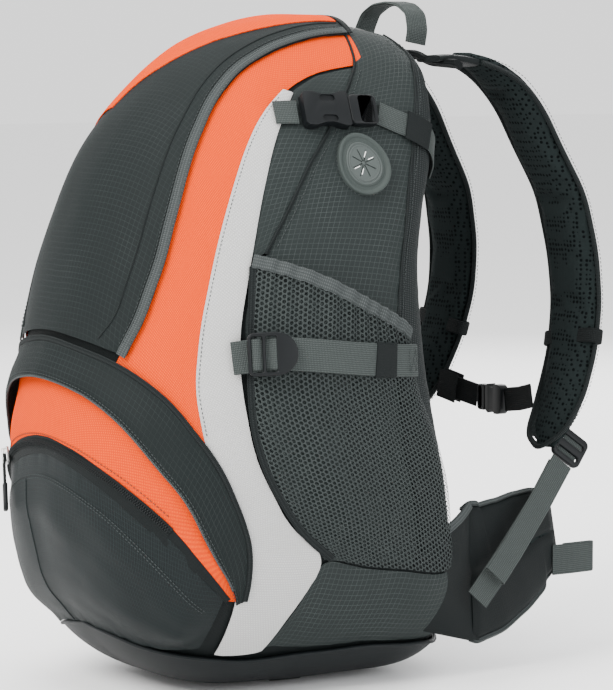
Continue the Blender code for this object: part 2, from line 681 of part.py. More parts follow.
# harness
PAD = [(70, 134, 490), (71, 150, 487), (73, 177, 472), (75, 196, 449), (77, 209, 423),
       (80, 233, 381), (84, 243, 332), (88, 244, 292), (93, 236, 253), (98, 220, 214),
       (104, 195, 178)]
PAD_TOP = (72, 113, 490)
ANCHOR = (141, 100, 62)


def loop_around(name, path_at, way, face, wide, thick, length, look):
    """A band around a strap, as a tube of rectangular section."""
    ax = basis(way, face)
    body = block(name, (length, wide + 4.4, thick + 4.4), path_at, look, ax)
    bore = block("cut_" + name, (length + 6, wide + 1.4, thick + 1.4), path_at, look, ax, CUTTERS)
    return cut(body, bore)


def harness(side, tag):
    run = along(on(PAD, side), 24)
    way = np.gradient(run, axis=0)
    face = np.cross(way, np.array([side, 0.0, 0.0]))
    face = face * np.sign(face[:1, 2]) if face[0, 2] < 0 else face
    widths = np.interp(np.arange(24), [0, 1, 3, 12, 20, 22, 23], [44, 52, 64, 66, 60, 48, 30])
    thick = np.interp(np.arange(24), [0, 2, 20, 23], [6, 13, 13, 6])
    pad = sweep("shoulder_pad_" + tag, run, face, widths, thick, "mesh", corner=1.0)
    pivot(pad, (PAD_TOP[0] * side, *PAD_TOP[1:]))
    at = run[17]
    loop_around("keeper_band_" + tag, at, way[17], face[17], 66, 13, 12, "web")
    lock_at = np.array([114.0 * side, 218, 176])
    lower = on([(142, 106, 66), (135, 132, 88), (122, 178, 130), (114.5, 206, 162)], side)
    lower = along(lower, 9)
    outer = np.array([0.86 * side, 0.1, 0.45])
    sweep("strap_web_" + tag, lower, outer, 20, 1.4, "web")
    tail = along(on([(118.5, 207, 166), (127, 180, 138), (139, 142, 102), (146, 120, 84)], side), 8)
    sweep("strap_tail_" + tag, tail, outer, 20, 1.4, "web")
    ax = basis(lower[-1] - lower[-3], outer)
    lock = plate("strap_lock_" + tag, rounded(26, 28, 4), 5.0, lock_at, ax, "plastic")
    for v in (-6, 5):
        slot = plate("cut_lockslot_%d_%s" % (v > 0, tag), rounded(3.4, 21, 1.2), 12,
                     lock_at + ax[0] * v, ax, "plastic", CUTTERS)
        cut(lock, slot)
    PINS["LOCK_PIN_" + tag] = lock_at + ax[0] * 10
    PINS["LOCK_AXIS_" + tag] = -ax[1]
    pivot(lock, PINS["LOCK_PIN_" + tag])
    # hip wing
    line = along(on([(117, 112, 82), (115, 135, 84), (111, 160, 92), (104, 190, 104), (99, 212, 108)],
                    side), 14)
    wide = np.interp(np.arange(14), [0, 1, 5, 9, 12, 13], [108, 116, 104, 90, 70, 44])
    deep = np.interp(np.arange(14), [0, 1, 12, 13], [6, 11, 11, 5])
    wing = sweep("hip_wing_" + tag, line, np.array([side, 0.0, 0.0]), wide, deep, "mesh", corner=1.0)
    pivot(wing, (112 * side, 106, 82))
    fold = on([(106.7, 206, 84), (107.1, 228, 84), (106.4, 246, 84), (104.8, 248.5, 84), (103, 246, 84),
               (103.2, 228, 84), (103.2, 219, 84)], side)
    sweep("hip_loop_" + tag, np.array(fold, float) + [1.6 * side, 0, 0], np.array(
        [[side, 0, 0.0], [side, 0, 0], [side, 0.6, 0], [0, 1, 0], [-side, 0.6, 0], [-side, 0, 0],
         [-side, 0, 0]]), 25, 1.3, "web")


both(harness)

# sternum strap: everything rides on the right strap, and the left end lies by the left strap
right_run = along([(63.5, 217, 214), (40, 222, 209), (14.4, 226.6, 205.5)], 6)
sweep("sternum_web_right", right_run, (0, 1, 0), 20, 1.4, "web")
st = basis(np.array([-1.0, 0, 0]), np.array([0, 1.0, 0]))
female_at = np.array([1.5, 227, 205])
sternum_female = plate("sternum_buckle_female", rounded(22, 25, 4), 8, female_at, st, "plastic")
cut(sternum_female, block("cut_sternum_bay", (18, 17, 4.4), female_at + st[0] * 5, "plastic", st, CUTTERS))
male_at = np.array([-16.0, 227, 205])
sternum_male = plate("sternum_buckle_male", rounded(12, 22, 3), 7.2, male_at, st, "plastic")
for v in (-5.6, 5.6):
    prong = block("cut_sternum_prong_%d" % (v > 0), (15, 4.0, 3.2),
                  male_at - st[0] * 8 + st[1] * v, "plastic", st, CUTTERS)
    cut(sternum_male, prong, "UNION")
left_run = along([(-24.4, 226, 205.5), (-36, 223, 208), (-46.5, 221, 210)], 6)
sweep("sternum_web_left", left_run, (0, 1, 0), 20, 1.4, "web")

# grab handle: a webbing loop that folds forward on its two feet
arch = [(-38, 117, 503), (-38, 119, 514), (-32, 121, 527), (-18, 122, 534), (0, 122.5, 536),
        (18, 122, 534), (32, 121, 527), (38, 119, 514), (38, 117, 503)]
loop = along(arch, 19)
handle = sweep("grab_handle", loop, np.cross(np.gradient(loop, axis=0), (0, 1.0, 0)), 20, 2.4, "web")
pivot(handle, (0, 117, 503))
yoke_run = [(-101, 115, 487), (-60, 115, 489), (-45, 115, 494), (0, 115, 495), (45, 115, 494),
            (60, 115, 489), (101, 115, 487)]
sweep("yoke", along(yoke_run, 15), (0, 0.2, 1), 11, 6, "dark")
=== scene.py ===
"""Looks of the daypack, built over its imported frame. Tables are in millimetres."""
import math

import bmesh
import bpy
import numpy as np
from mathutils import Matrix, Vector


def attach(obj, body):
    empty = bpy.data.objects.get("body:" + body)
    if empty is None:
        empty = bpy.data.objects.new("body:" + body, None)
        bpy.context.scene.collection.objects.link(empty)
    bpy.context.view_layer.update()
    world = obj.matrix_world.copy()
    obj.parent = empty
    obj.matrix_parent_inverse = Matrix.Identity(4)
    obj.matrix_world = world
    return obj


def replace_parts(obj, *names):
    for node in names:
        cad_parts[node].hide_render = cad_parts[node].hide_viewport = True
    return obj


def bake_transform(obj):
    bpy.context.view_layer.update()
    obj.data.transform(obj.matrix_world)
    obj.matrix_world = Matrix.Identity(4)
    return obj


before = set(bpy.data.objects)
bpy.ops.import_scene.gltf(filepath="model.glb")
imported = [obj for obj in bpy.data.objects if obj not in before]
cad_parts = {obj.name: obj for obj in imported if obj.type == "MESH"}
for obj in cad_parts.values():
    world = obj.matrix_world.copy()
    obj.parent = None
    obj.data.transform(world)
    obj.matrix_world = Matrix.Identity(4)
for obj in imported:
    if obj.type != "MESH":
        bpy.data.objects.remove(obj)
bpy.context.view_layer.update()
MM = 0.001
# the bag's side outline as (y, z) round its hub, its half widths by height, and its fullness by angle
HUB = np.array([0.0, -30.0, 265.0])
OUTLINE = [
    (-197, 262), (-188, 320), (-172, 372), (-147, 424), (-110, 468), (-66, 500), (-14, 517),
    (40, 521), (84, 512), (106, 492), (104, 452), (88, 400), (77, 340), (76, 280), (86, 220),
    (98, 160), (107, 105), (112, 62), (106, 26), (78, 7), (20, 4.5), (-40, 4.5), (-103, 9),
    (-147, 32), (-173, 68), (-188, 120), (-197, 190),
]
WIDTH_AT = [0, 30, 90, 150, 210, 270, 330, 390, 440, 480, 530]
WIDTH = [132, 141, 147, 149, 148, 146, 141, 134, 126, 117, 106]
POWER_AT = [0, 40, 75, 95, 120, 140, 180, 220, 245, 270, 300, 330, 360]
POWER = [2.2, 2.15, 2.4, 2.8, 3.4, 4.4, 4.6, 4.6, 4.4, 4.2, 3.2, 2.6, 2.2]

# seams of the wearer's right side; the left side mirrors them
FLAP_EDGE = [
    (81, -176, 269), (88, -163, 296), (91, -148, 340), (87, -132, 384), (78, -113, 425),
    (70, -93, 458), (64, -66, 482), (62, -35, 500), (62, 5, 512), (62, 40, 516),
]
WHITE_BACK = [
    (90, -33, 468), (104, -60, 428), (116, -79, 384), (125, -94, 339), (130, -107, 290),
    (135, -110, 253), (142, -102, 194), (145, -73, 139), (144, -38, 113), (129, -67, 64),
    (112, -77, 40),
]
WHITE_FRONT = [
    (86, -40, 471), (91.5, -62, 455), (98, -81, 428), (105.5, -99, 392), (112, -117, 348),
    (117, -134, 290), (124, -144, 245), (130, -137, 200), (135, -122, 157), (135, -108, 118),
    (127, -109, 90), (118, -109, 70), (99, -111, 42),
]
HOOD_TOP = [(0, -196, 279), (44, -191, 272), (78, -177, 262), (109, -156, 238), (132, -127, 191),
            (139, -108, 141), (137, -102, 116), (129, -104, 86)]
HOOD_LOW = [(0, -198, 250), (42, -192, 244), (69, -186, 232), (93, -175, 212), (122, -147, 165),
            (130, -122, 108), (130, -112, 94), (127, -110, 82)]
POCKET_TOP = [(0, -197, 197), (26, -195, 194), (52, -190, 186), (77, -183, 172), (97, -170, 155),
              (115, -154, 132), (125, -131, 105), (127, -117, 84)]
POCKET_FOOT = [(0, -166, 55), (42, -160, 53), (73, -146, 47), (102, -124, 44)]
BASE_RIM = [(0, -166, 52), (42, -160, 49), (73, -144, 42), (95, -118, 35), (112, -46, 31),
            (118, 20, 28), (112, 80, 26), (80, 108, 26), (0, 112, 26)]
MESH_HEM = [(126, -93, 336), (138, -55, 322), (143, -14, 302), (141, 40, 275)]
MESH_RUNS = [
    MESH_HEM,
    [(136, -102, 253), (146, -40, 250), (146, 0, 244), (139, 46, 236)],
    [(142, -97, 196), (148, -30, 194), (147, 20, 190), (134, 72, 186)],
    [(146, -68, 141), (148, -20, 140), (146, 30, 138), (131, 88, 136)],
    [(144, -34, 111), (143, 0, 102), (141, 40, 97), (132, 84, 93)],
]
SIDE_TOP = [(147, -35, 106), (144, 0, 98), (142, 40, 93), (133, 84, 89)]
SIDE_FOOT = [(117, -72, 42), (118, -46, 36), (121, 20, 33), (113, 82, 31)]
SEAM = [(0, 40, 521), (46, 37, 515), (83, 28, 486), (94, 14, 469), (110, -15, 435),
        (117, -38, 409), (124, -60, 377), (127, -82, 345)]


def spread(points, per):
    """A closed smooth curve through points, per steps to each."""
    p = np.array(points, float)
    out = []
    for i in range(len(p)):
        a, b, c, d = p[i - 1], p[i], p[(i + 1) % len(p)], p[(i + 2) % len(p)]
        for t in np.arange(per) / per:
            bend = (2 * a - 5 * b + 4 * c - d) * t * t + (3 * b - a - 3 * c + d) * t ** 3
            out.append(0.5 * (2 * b + (c - a) * t + bend))
    return np.array(out)


def softened(values, reach):
    """A running mean over reach values either way."""
    padded = np.pad(values, reach, mode="edge")
    return np.convolve(padded, np.ones(2 * reach + 1) / (2 * reach + 1), "valid")


_side = spread(OUTLINE, 12)
_turn = np.arctan2(_side[:, 1] - HUB[2], HUB[1] - _side[:, 0]) % (2 * np.pi)
_far = np.hypot(_side[:, 1] - HUB[2], HUB[1] - _side[:, 0])
_order = np.argsort(_turn)
TURN, FAR = _turn[_order], _far[_order]
HEIGHTS = np.linspace(-50, 600, 261)
HALF = softened(np.interp(HEIGHTS, WIDTH_AT, WIDTH), 12)
DEGREES = np.arange(-60.0, 421.0)
FULLNESS = softened(np.interp(DEGREES, POWER_AT, POWER, period=360), 15)


def level(p):
    """Below 1 inside the bag and 1 on its skin."""
    turn = np.arctan2(p[..., 2] - HUB[2], HUB[1] - p[..., 1]) % (2 * np.pi)
    rho = np.hypot(p[..., 2] - HUB[2], HUB[1] - p[..., 1])
    n = np.interp(np.degrees(turn), DEGREES, FULLNESS)
    ring = (rho / np.interp(turn, TURN, FAR, period=2 * np.pi)) ** n
    return (ring + (np.abs(p[..., 0]) / np.interp(p[..., 2], HEIGHTS, HALF)) ** n) ** (1 / n)


def cast(start, way):
    """Where lines from inside the bag meet its skin."""
    start, way = np.broadcast_arrays(np.asarray(start, float), np.asarray(way, float))
    low = np.zeros(start.shape[:-1])
    high = np.full(start.shape[:-1], 600.0)
    for _ in range(28):
        mid = (low + high) / 2
        inside = level(start + way * mid[..., None]) < 1
        low = np.where(inside, mid, low)
        high = np.where(inside, high, mid)
    return start + way * high[..., None]


def outward(p):
    """Unit normals of the skin."""
    steps = np.eye(3) * 2.0
    g = np.stack([level(p + s) - level(p - s) for s in steps], -1)
    return g / np.linalg.norm(g, axis=-1, keepdims=True)


def noise(p, seed=0.0):
    """Smooth lattice noise from -1 to 1."""
    p = np.asarray(p, float) + seed
    base = np.floor(p)
    f = p - base
    f = f * f * (3 - 2 * f)
    total = 0.0
    for corner in range(8):
        c = np.array([corner & 1, corner >> 1 & 1, corner >> 2 & 1], float)
        q = base + c
        h = np.sin(q[..., 0] * 127.1 + q[..., 1] * 311.7 + q[..., 2] * 74.7) * 43758.5453
        w = np.prod(np.where(c > 0, f, 1 - f), -1)
        total = total + w * (h - np.floor(h))
    return total * 2 - 1


def ripple(a, b, seed):
    """Smooth noise over two coordinates."""
    a, b = np.broadcast_arrays(np.asarray(a, float), np.asarray(b, float))
    return noise(np.stack([a, b, 0 * a], -1), seed)


def slump(p):
    """How far the stuffed cloth stands off its ideal shape, the same for every layer."""
    broad = noise(p * [0.016, 0.016, 0.021], 3.1) * 1.3
    fine = noise(p * [0.045, 0.045, 0.028], 9.7) * 0.55
    return broad + fine


def snap(p, off=0.0, soft=True):
    """Points moved along lines from the hub to the skin, and off it by a height."""
    p = np.asarray(p, float)
    way = p - HUB
    way = way / np.linalg.norm(way, axis=-1, keepdims=True)
    q = cast(HUB, way)
    lift = np.asarray(off, float)[..., None]
    if soft:
        lift = lift + slump(q)[..., None]
    return q + outward(q) * lift


def lengths(path):
    """Distance run at each point of a path."""
    return np.concatenate([[0], np.cumsum(np.linalg.norm(np.diff(path, axis=0), axis=1))])


def at_run(where, run, values):
    """Rows of values read at distances along a run."""
    return np.stack([np.interp(where, run, values[:, k]) for k in range(3)], -1)


def along(points, count, lead=0.0, trail=0.0, reach=14):
    """Evenly spaced points on a rounded route, with the given shares left off its ends."""
    p = np.array(points, float)
    run = lengths(p)
    fine = np.linspace(0, run[-1], 400)
    q = np.stack([softened(np.interp(fine, run, p[:, k]), reach) for k in range(3)], -1)
    q[0], q[-1] = p[0], p[-1]
    at = np.linspace(lead * run[-1], (1 - trail) * run[-1], count)
    return at_run(at, fine, q)


def on(points, side):
    """Points for one side: 1 right, -1 left."""
    return [(x * side, y, z) for x, y, z in points]


def whole(points):
    """A route over both sides from its right half."""
    return on(points, -1)[:0:-1] + list(points)


def rise(t, start, end):
    """A smooth step from 0 to 1."""
    u = np.clip((t - start) / (end - start), 0, 1)
    return u * u * (3 - 2 * u)


def unit(v):
    v = np.asarray(v, float)
    return v / np.linalg.norm(v, axis=-1, keepdims=True)


def basis(first, third):
    """Three unit axes: along first, across, and facing third."""
    a = unit(first)
    c = np.asarray(third, float)
    c = unit(c - a * (a @ c))
    return np.array([a, np.cross(c, a), c])


SIDES = ((1, "right"), (-1, "left"))
STRIP = [(-24, -124, 450), (-17, -113, 464), (-5, -99, 478), (8, -83, 488), (24, -55, 499),
         (35, -18, 509), (40, 18, 513), (42, 36, 515)]


class Web:
    """A small way to write material nodes."""

    def __init__(self, name):
        self.mat = bpy.data.materials.new(name)
        self.mat.use_nodes = True
        self.tree = self.mat.node_tree
        self.shader = self.tree.nodes["Principled BSDF"]

    def node(self, kind, **settings):
        n = self.tree.nodes.new(kind)
        for key, value in settings.items():
            setattr(n, key, value)
        return n

    def feed(self, socket, value):
        if isinstance(value, bpy.types.NodeSocket):
            self.tree.links.new(value, socket)
        else:
            socket.default_value = value

    def math(self, operation, a, b=0.0, c=0.0):
        n = self.node("ShaderNodeMath", operation=operation)
        self.feed(n.inputs[0], a)
        self.feed(n.inputs[1], b)
        self.feed(n.inputs[2], c)
        return n.outputs[0]

    def mix(self, factor, a, b):
        n = self.node("ShaderNodeMix", data_type="RGBA")
        self.feed(n.inputs[0], factor)
        self.feed(n.inputs[6], a if isinstance(a, bpy.types.NodeSocket) else (*a, 1.0))
        self.feed(n.inputs[7], b if isinstance(b, bpy.types.NodeSocket) else (*b, 1.0))
        return n.outputs[2]

    def uv(self):
        n = self.node("ShaderNodeUVMap")
        n.uv_map = "mm"
        split = self.node("ShaderNodeSeparateXYZ")
        self.tree.links.new(n.outputs[0], split.inputs[0])
        return split.outputs[0], split.outputs[1]

    def place(self):
        return self.node("ShaderNodeTexCoord").outputs["Object"]

    def grain(self, scale, detail=2.0):
        n = self.node("ShaderNodeTexNoise")
        n.inputs["Scale"].default_value = scale
        n.inputs["Detail"].default_value = detail
        self.tree.links.new(self.place(), n.inputs["Vector"])
        return n.outputs[0]

    def wave(self, value, period):
        """0 to 1, once each period millimetres."""
        turned = self.math("MULTIPLY", value, 2 * math.pi / period)
        return self.math("MULTIPLY_ADD", self.math("SINE", turned), 0.5, 0.5)

    def lines(self, value, period, width):
        """1 on a thin line each period."""
        part = self.math("FRACT", self.math("DIVIDE", value, period))
        return self.math("LESS_THAN", part, width / period)

    def bump(self, height, distance, strength=1.0):
        n = self.node("ShaderNodeBump")
        n.inputs["Distance"].default_value = distance
        n.inputs["Strength"].default_value = strength
        self.tree.links.new(height, n.inputs["Height"])
        self.tree.links.new(n.outputs[0], self.shader.inputs["Normal"])

    def done(self, colour, rough, specular):
        self.feed(self.shader.inputs["Base Color"], colour if isinstance(
            colour, bpy.types.NodeSocket) else (*colour, 1.0))
        self.feed(self.shader.inputs["Roughness"], rough)
        self.shader.inputs["Sheen Weight"].default_value = 0.0
        self.shader.inputs["Specular IOR Level"].default_value = specular
        return self.mat


def worn(w, colour, amount=0.18):
    """Slow mottling over a colour."""
    factor = w.math("MULTIPLY", w.grain(38.0, 3.0), amount)
    return w.mix(factor, colour, tuple(c * 0.62 for c in colour))


def ripstop(name, colour, line, pitch, width, strength, dot=0.9):
    """Plain weave with a grid of brighter, broken threads."""
    w = Web(name)
    u, v = w.uv()
    weave = w.math("MULTIPLY", w.wave(u, 0.62), w.wave(v, 0.62))
    broken_u = w.math("GREATER_THAN", w.wave(v, dot), 0.38)
    broken_v = w.math("GREATER_THAN", w.wave(u, dot), 0.38)
    grid = w.math("MAXIMUM", w.math("MULTIPLY", w.lines(u, pitch, width), broken_u),
                  w.math("MULTIPLY", w.lines(v, pitch, width), broken_v))
    base = worn(w, colour)
    uneven = w.math("MULTIPLY_ADD", w.grain(26.0), 1.5, -0.2)
    mixed = w.mix(w.math("MULTIPLY", w.math("MULTIPLY", grid, strength), uneven), base, line)
    height = w.math("ADD", w.math("MULTIPLY", weave, 0.5), grid)
    w.bump(height, 0.00025, 0.6)
    return w.done(mixed, 0.62, 0.1)


def dobby(name, colour, dot_colour, pitch=1.7, rows=1.9):
    """A woven face with staggered rows of small light floats."""
    w = Web(name)
    u, v = w.uv()
    row = w.math("FLOOR", w.math("DIVIDE", v, rows))
    odd = w.math("MULTIPLY", w.math("MODULO", row, 2.0), pitch / 2)
    cell_u = w.math("FRACT", w.math("DIVIDE", w.math("ADD", u, odd), pitch))
    cell_v = w.math("FRACT", w.math("DIVIDE", v, rows))
    near_u = w.math("ABSOLUTE", w.math("SUBTRACT", cell_u, 0.5))
    near_v = w.math("ABSOLUTE", w.math("SUBTRACT", cell_v, 0.5))
    spot = w.math("MULTIPLY", w.math("LESS_THAN", near_u, 0.27), w.math("LESS_THAN", near_v, 0.24))
    soft = w.math("MULTIPLY", spot, 0.55)
    mixed = w.mix(soft, worn(w, colour, 0.14), dot_colour)
    ribs = w.wave(v, rows)
    w.bump(w.math("ADD", w.math("MULTIPLY", ribs, 0.7), w.math("MULTIPLY", spot, -0.6)), 0.0003, 0.6)
    return w.done(mixed, 0.85, 0.02)


def satin(name, colour, rough):
    """Close, slightly shiny nylon with faint cross ribs."""
    w = Web(name)
    u, v = w.uv()
    ribs = w.math("ADD", w.wave(v, 0.9), w.math("MULTIPLY", w.wave(u, 1.4), 0.5))
    grid = w.math("MAXIMUM", w.lines(u, 3.4, 0.3), w.lines(v, 3.4, 0.3))
    row = w.math("MULTIPLY", w.lines(v, 1.7, 0.6), 0.35)
    mixed = w.mix(w.math("ADD", w.math("MULTIPLY", grid, 0.35), row), worn(w, colour, 0.3),
                  tuple(c * 5.5 for c in colour))
    w.bump(ribs, 0.0002, 0.5)
    return w.done(mixed, rough, 0.12)


def webbing(name, colour, light, pitch=1.25, stripes=1.6):
    """Ribbed tape: fine cross ribs and a few lengthwise channels."""
    w = Web(name)
    u, v = w.uv()
    ribs = w.wave(v, pitch)
    channel = w.wave(u, stripes)
    shine = w.math("MULTIPLY", w.math("MULTIPLY", ribs, channel), 0.75)
    mixed = w.mix(shine, worn(w, colour, 0.2), light)
    w.bump(w.math("ADD", ribs, channel), 0.0003, 0.8)
    return w.done(mixed, 0.8, 0.1)


def air_mesh(name, colour, hole, scale=260.0):
    """Padded spacer mesh: rounded cells with pits darkened by painted shade."""
    w = Web(name)
    cells = w.node("ShaderNodeTexVoronoi")
    cells.inputs["Scale"].default_value = scale
    cells.inputs["Randomness"].default_value = 0.25
    w.tree.links.new(w.place(), cells.inputs["Vector"])
    far = cells.outputs["Distance"]
    # painted shade: the pits take the dark hole colour in place of the shade inside them
    pit_shade = w.math("LESS_THAN", far, 0.34)
    mixed = w.mix(pit_shade, worn(w, colour, 0.2), hole)
    w.bump(far, 0.0006, 0.8)
    return w.done(mixed, 0.95, 0.03)


def net(name, colour, pitch):
    """Open net with six-sided holes that show what is behind."""
    w = Web(name)
    u, v = w.uv()
    tall = pitch * 0.866
    row = w.math("FLOOR", w.math("DIVIDE", v, tall))
    odd = w.math("MULTIPLY", w.math("MODULO", w.math("ABSOLUTE", row), 2.0), pitch / 2)
    x = w.math("SUBTRACT", w.math("FRACT", w.math("DIVIDE", w.math("ADD", u, odd), pitch)), 0.5)
    y = w.math("SUBTRACT", w.math("FRACT", w.math("DIVIDE", v, tall)), 0.5)
    xx = w.math("MULTIPLY", x, x)
    yy = w.math("MULTIPLY", w.math("MULTIPLY", y, y), 0.8)
    far = w.math("SQRT", w.math("ADD", xx, yy))
    solid = w.math("GREATER_THAN", far, 0.375)
    glint = w.wave(v, pitch * 0.31)
    tone = w.mix(w.math("MULTIPLY", glint, 0.45), worn(w, colour, 0.2), tuple(c * 2.3 for c in colour))
    w.feed(w.shader.inputs["Alpha"], solid)
    w.bump(far, 0.0004, 0.6)
    return w.done(tone, 0.75, 0.15)


def moulded(name, colour, rough, metal=0.0):
    """Plastic, rubber or metal with a fine grain."""
    w = Web(name)
    w.bump(w.grain(900.0), 0.00008, 0.5)
    w.shader.inputs["Metallic"].default_value = metal
    speck = w.math("MULTIPLY", w.grain(60.0), 0.3)
    mixed = w.mix(speck, colour, tuple(c * 1.6 for c in colour))
    return w.done(mixed, rough, 0.14)


M = {
    "dark": ripstop("dark_ripstop", (0.0058, 0.0085, 0.0085), (0.034, 0.042, 0.041), 4.4, 0.45, 0.6),
    "side": ripstop("side_ripstop", (0.0125, 0.0165, 0.0162), (0.062, 0.073, 0.07), 4.4, 0.55, 0.75),
    "plain": ripstop("plain_cloth", (0.0045, 0.0062, 0.0064), (0.011, 0.0135, 0.0135), 2.2, 0.4, 0.3),
    "orange": dobby("orange_cloth", (0.56, 0.034, 0.0), (0.86, 0.11, 0.0)),
    "white": dobby("pale_cloth", (0.36, 0.36, 0.355), (0.52, 0.52, 0.51), 2.1, 2.0),
    "satin": satin("pocket_satin", (0.003, 0.0046, 0.0048), 0.55),
    "base": satin("base_cloth", (0.0028, 0.0038, 0.0042), 0.5),
    "web": webbing("webbing", (0.026, 0.0315, 0.0305), (0.078, 0.088, 0.085)),
    "dark_web": webbing("dark_webbing", (0.0035, 0.0045, 0.0047), (0.01, 0.012, 0.012)),
    "hem": webbing("hem_tape", (0.031, 0.036, 0.036), (0.07, 0.077, 0.077), 1.6, 2.4),
    "pale_hem": webbing("pale_hem", (0.10, 0.115, 0.112), (0.17, 0.18, 0.178), 1.3, 2.0),
    "rib": webbing("rib_cloth", (0.0075, 0.0095, 0.0098), (0.036, 0.041, 0.041), 1.7, 3.0),
    "web_cord": webbing("pull_cord", (0.006, 0.0075, 0.0075), (0.018, 0.02, 0.02), 1.1, 1.4),
    "dark_hem": webbing("dark_hem", (0.006, 0.0078, 0.008), (0.018, 0.021, 0.021), 1.3, 2.6),
    # air mesh; its second colour is painted shade for the pits
    "air": air_mesh("air_mesh", (0.0105, 0.0142, 0.0142), (0.002, 0.0028, 0.003)),
    "net": net("pocket_net", (0.017, 0.021, 0.0205), 4.0),
    "plastic": moulded("black_acetal", (0.0038, 0.0046, 0.0052), 0.42),
    "rubber": moulded("port_rubber", (0.028, 0.035, 0.033), 0.6),
    "port_face": moulded("port_face", (0.042, 0.05, 0.048), 0.55),
    "coil": moulded("zip_coil", (0.01, 0.0115, 0.012), 0.5),
    "metal": moulded("zip_metal", (0.42, 0.42, 0.41), 0.32, 1.0),
    "thread": moulded("thread", (0.03, 0.035, 0.035), 0.8),
    # pale bars painted as highlights on the drink port's rays
    "glint": moulded("port_painted_glint", (0.62, 0.63, 0.62), 0.5),
}


# builders ------------------------------------------------------------------------------------

def shape(name, verts, faces, look, body, uv=None, crease=40):
    """A smooth mesh from millimetres, with its uv in millimetres, riding on a body."""
    me = bpy.data.meshes.new(name)
    me.from_pydata((np.asarray(verts) * MM).tolist(), [], faces)
    layer = me.uv_layers.new(name="mm")
    if uv is not None:
        index = np.zeros(len(me.loops), int)
        me.loops.foreach_get("vertex_index", index)
        layer.data.foreach_set("uv", np.asarray(uv, float)[index].ravel())
    me.shade_smooth()
    me.set_sharp_from_angle(angle=math.radians(crease))
    obj = bpy.data.objects.new(name, me)
    bpy.context.scene.collection.objects.link(obj)
    me.materials.append(M[look])
    if body:
        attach(obj, body)
    return obj


def joined(parts):
    """One (verts, faces, uv) from several."""
    verts, faces, uvs, base = [], [], [], 0
    for v, f, uv in parts:
        verts.append(np.asarray(v, float))
        faces.extend([[i + base for i in face] for face in f])
        uvs.append(np.asarray(uv, float))
        base += len(v)
    return np.concatenate(verts), faces, np.concatenate(uvs)


def measured(grid):
    """Arc lengths over a grid, from its middle column and first row."""
    u = np.zeros(grid.shape[:2])
    v = np.zeros(grid.shape[:2])
    u[:, 1:] = np.cumsum(np.linalg.norm(np.diff(grid, axis=1), axis=-1), 1)
    v[1:] = np.cumsum(np.linalg.norm(np.diff(grid, axis=0), axis=-1), 0)
    u -= u[:, u.shape[1] // 2][:, None]
    v -= v[v.shape[0] // 2][None]
    return np.stack([u, v], -1)


def slab(name, top, under, look, body="pack", crease=50):
    """A closed sheet between two grids."""
    m, n = top.shape[:2]
    size = m * n
    uv = measured(top).reshape(-1, 2)
    faces = []
    for i in range(m - 1):
        for j in range(n - 1):
            a, b, c, d = i * n + j, i * n + j + 1, (i + 1) * n + j + 1, (i + 1) * n + j
            faces.append([a, b, c, d])
            faces.append([size + d, size + c, size + b, size + a])
    rim = [j for j in range(n - 1)] + [i * n + n - 1 for i in range(m - 1)]
    rim += [(m - 1) * n + j for j in range(n - 1, 0, -1)] + [i * n for i in range(m - 1, 0, -1)]
    for a, b in zip(rim, rim[1:] + rim[:1]):
        faces.append([b, a, size + a, size + b])
    verts = np.concatenate([top.reshape(-1, 3), under.reshape(-1, 3)])
    centre = top[m // 2, n // 2]
    normal = np.cross(top[m // 2, n // 2 + 1] - centre, top[m // 2 + 1, n // 2] - centre)
    if normal @ (centre - under[m // 2, n // 2]) < 0:
        faces = [f[::-1] for f in faces]
    return shape(name, verts, faces, look, body, np.concatenate([uv, uv]), crease)


def sheer(name, top, look, body="pack"):
    """One open layer, for net."""
    m, n = top.shape[:2]
    faces = []
    for i in range(m - 1):
        for j in range(n - 1):
            faces.append([i * n + j, i * n + j + 1, (i + 1) * n + j + 1, (i + 1) * n + j])
    return shape(name, top.reshape(-1, 3), faces, look, body, measured(top).reshape(-1, 2), 180)


def mix_grid(edges, count, across, trim=0.0):
    """A grid through several edge runs, from the first to the last."""
    rows = np.stack([along(r, count, trim, trim) for r in edges])
    if len(edges) > 2:
        return softened_rows(rows, across, trim).transpose(1, 0, 2)
    f = np.linspace(trim, 1 - trim, across)[:, None, None]
    return (rows[:1] * (1 - f) + rows[1:] * f).transpose(1, 0, 2)


def softened_rows(rows, across, trim):
    """Rows joined by a smooth curve instead of straight steps."""
    count = len(rows)
    t = np.linspace(trim, 1 - trim, across) * (count - 1)
    k = np.clip(t.astype(int), 0, count - 2)
    f = (t - k)[:, None, None]
    before = rows[np.maximum(k - 1, 0)]
    a, b = rows[k], rows[k + 1]
    after = rows[np.minimum(k + 2, count - 1)]
    bend = (2 * before - 5 * a + 4 * b - after) * f * f + (3 * a - before - 3 * b + after) * f ** 3
    return 0.5 * (2 * a + (b - before) * f + bend)


def panel(name, edges, look, off=1.0, thick=1.0, count=60, across=24, crown=0.0, pucker=0.35,
          body="pack", trim=0.0):
    """A sewn panel on the skin: crowned between its seams and puckered beside them."""
    grid = mix_grid(edges, count, across, trim)
    s = np.linspace(0, 1, count)[:, None]
    t = np.linspace(0, 1, across)[None]
    lift = off(s, t) if callable(off) else off + 0 * s * t
    edge = np.minimum(t, 1 - t) * np.ones_like(s)
    lift = lift + crown * (1 - (1 - np.clip(edge / 0.22, 0, 1)) ** 2)
    span = measured(grid)
    near = np.exp(-np.minimum(span[..., 0] - span[:, :1, 0], span[:, -1:, 0] - span[..., 0]) / 9.0)
    lift = lift + pucker * near * ripple(span[..., 1] / 5.5, edge * 2, 5.0)
    top = snap(grid, lift)
    return slab(name, top, snap(grid, lift - thick), look, body)


def across_frames(path, outs):
    """Unit vectors along, across and out from a path."""
    path = np.asarray(path, float)
    way = unit(np.gradient(path, axis=0))
    out = np.broadcast_to(np.asarray(outs, float), path.shape)
    out = unit(out - way * np.sum(out * way, -1, keepdims=True))
    return way, np.cross(way, out), out


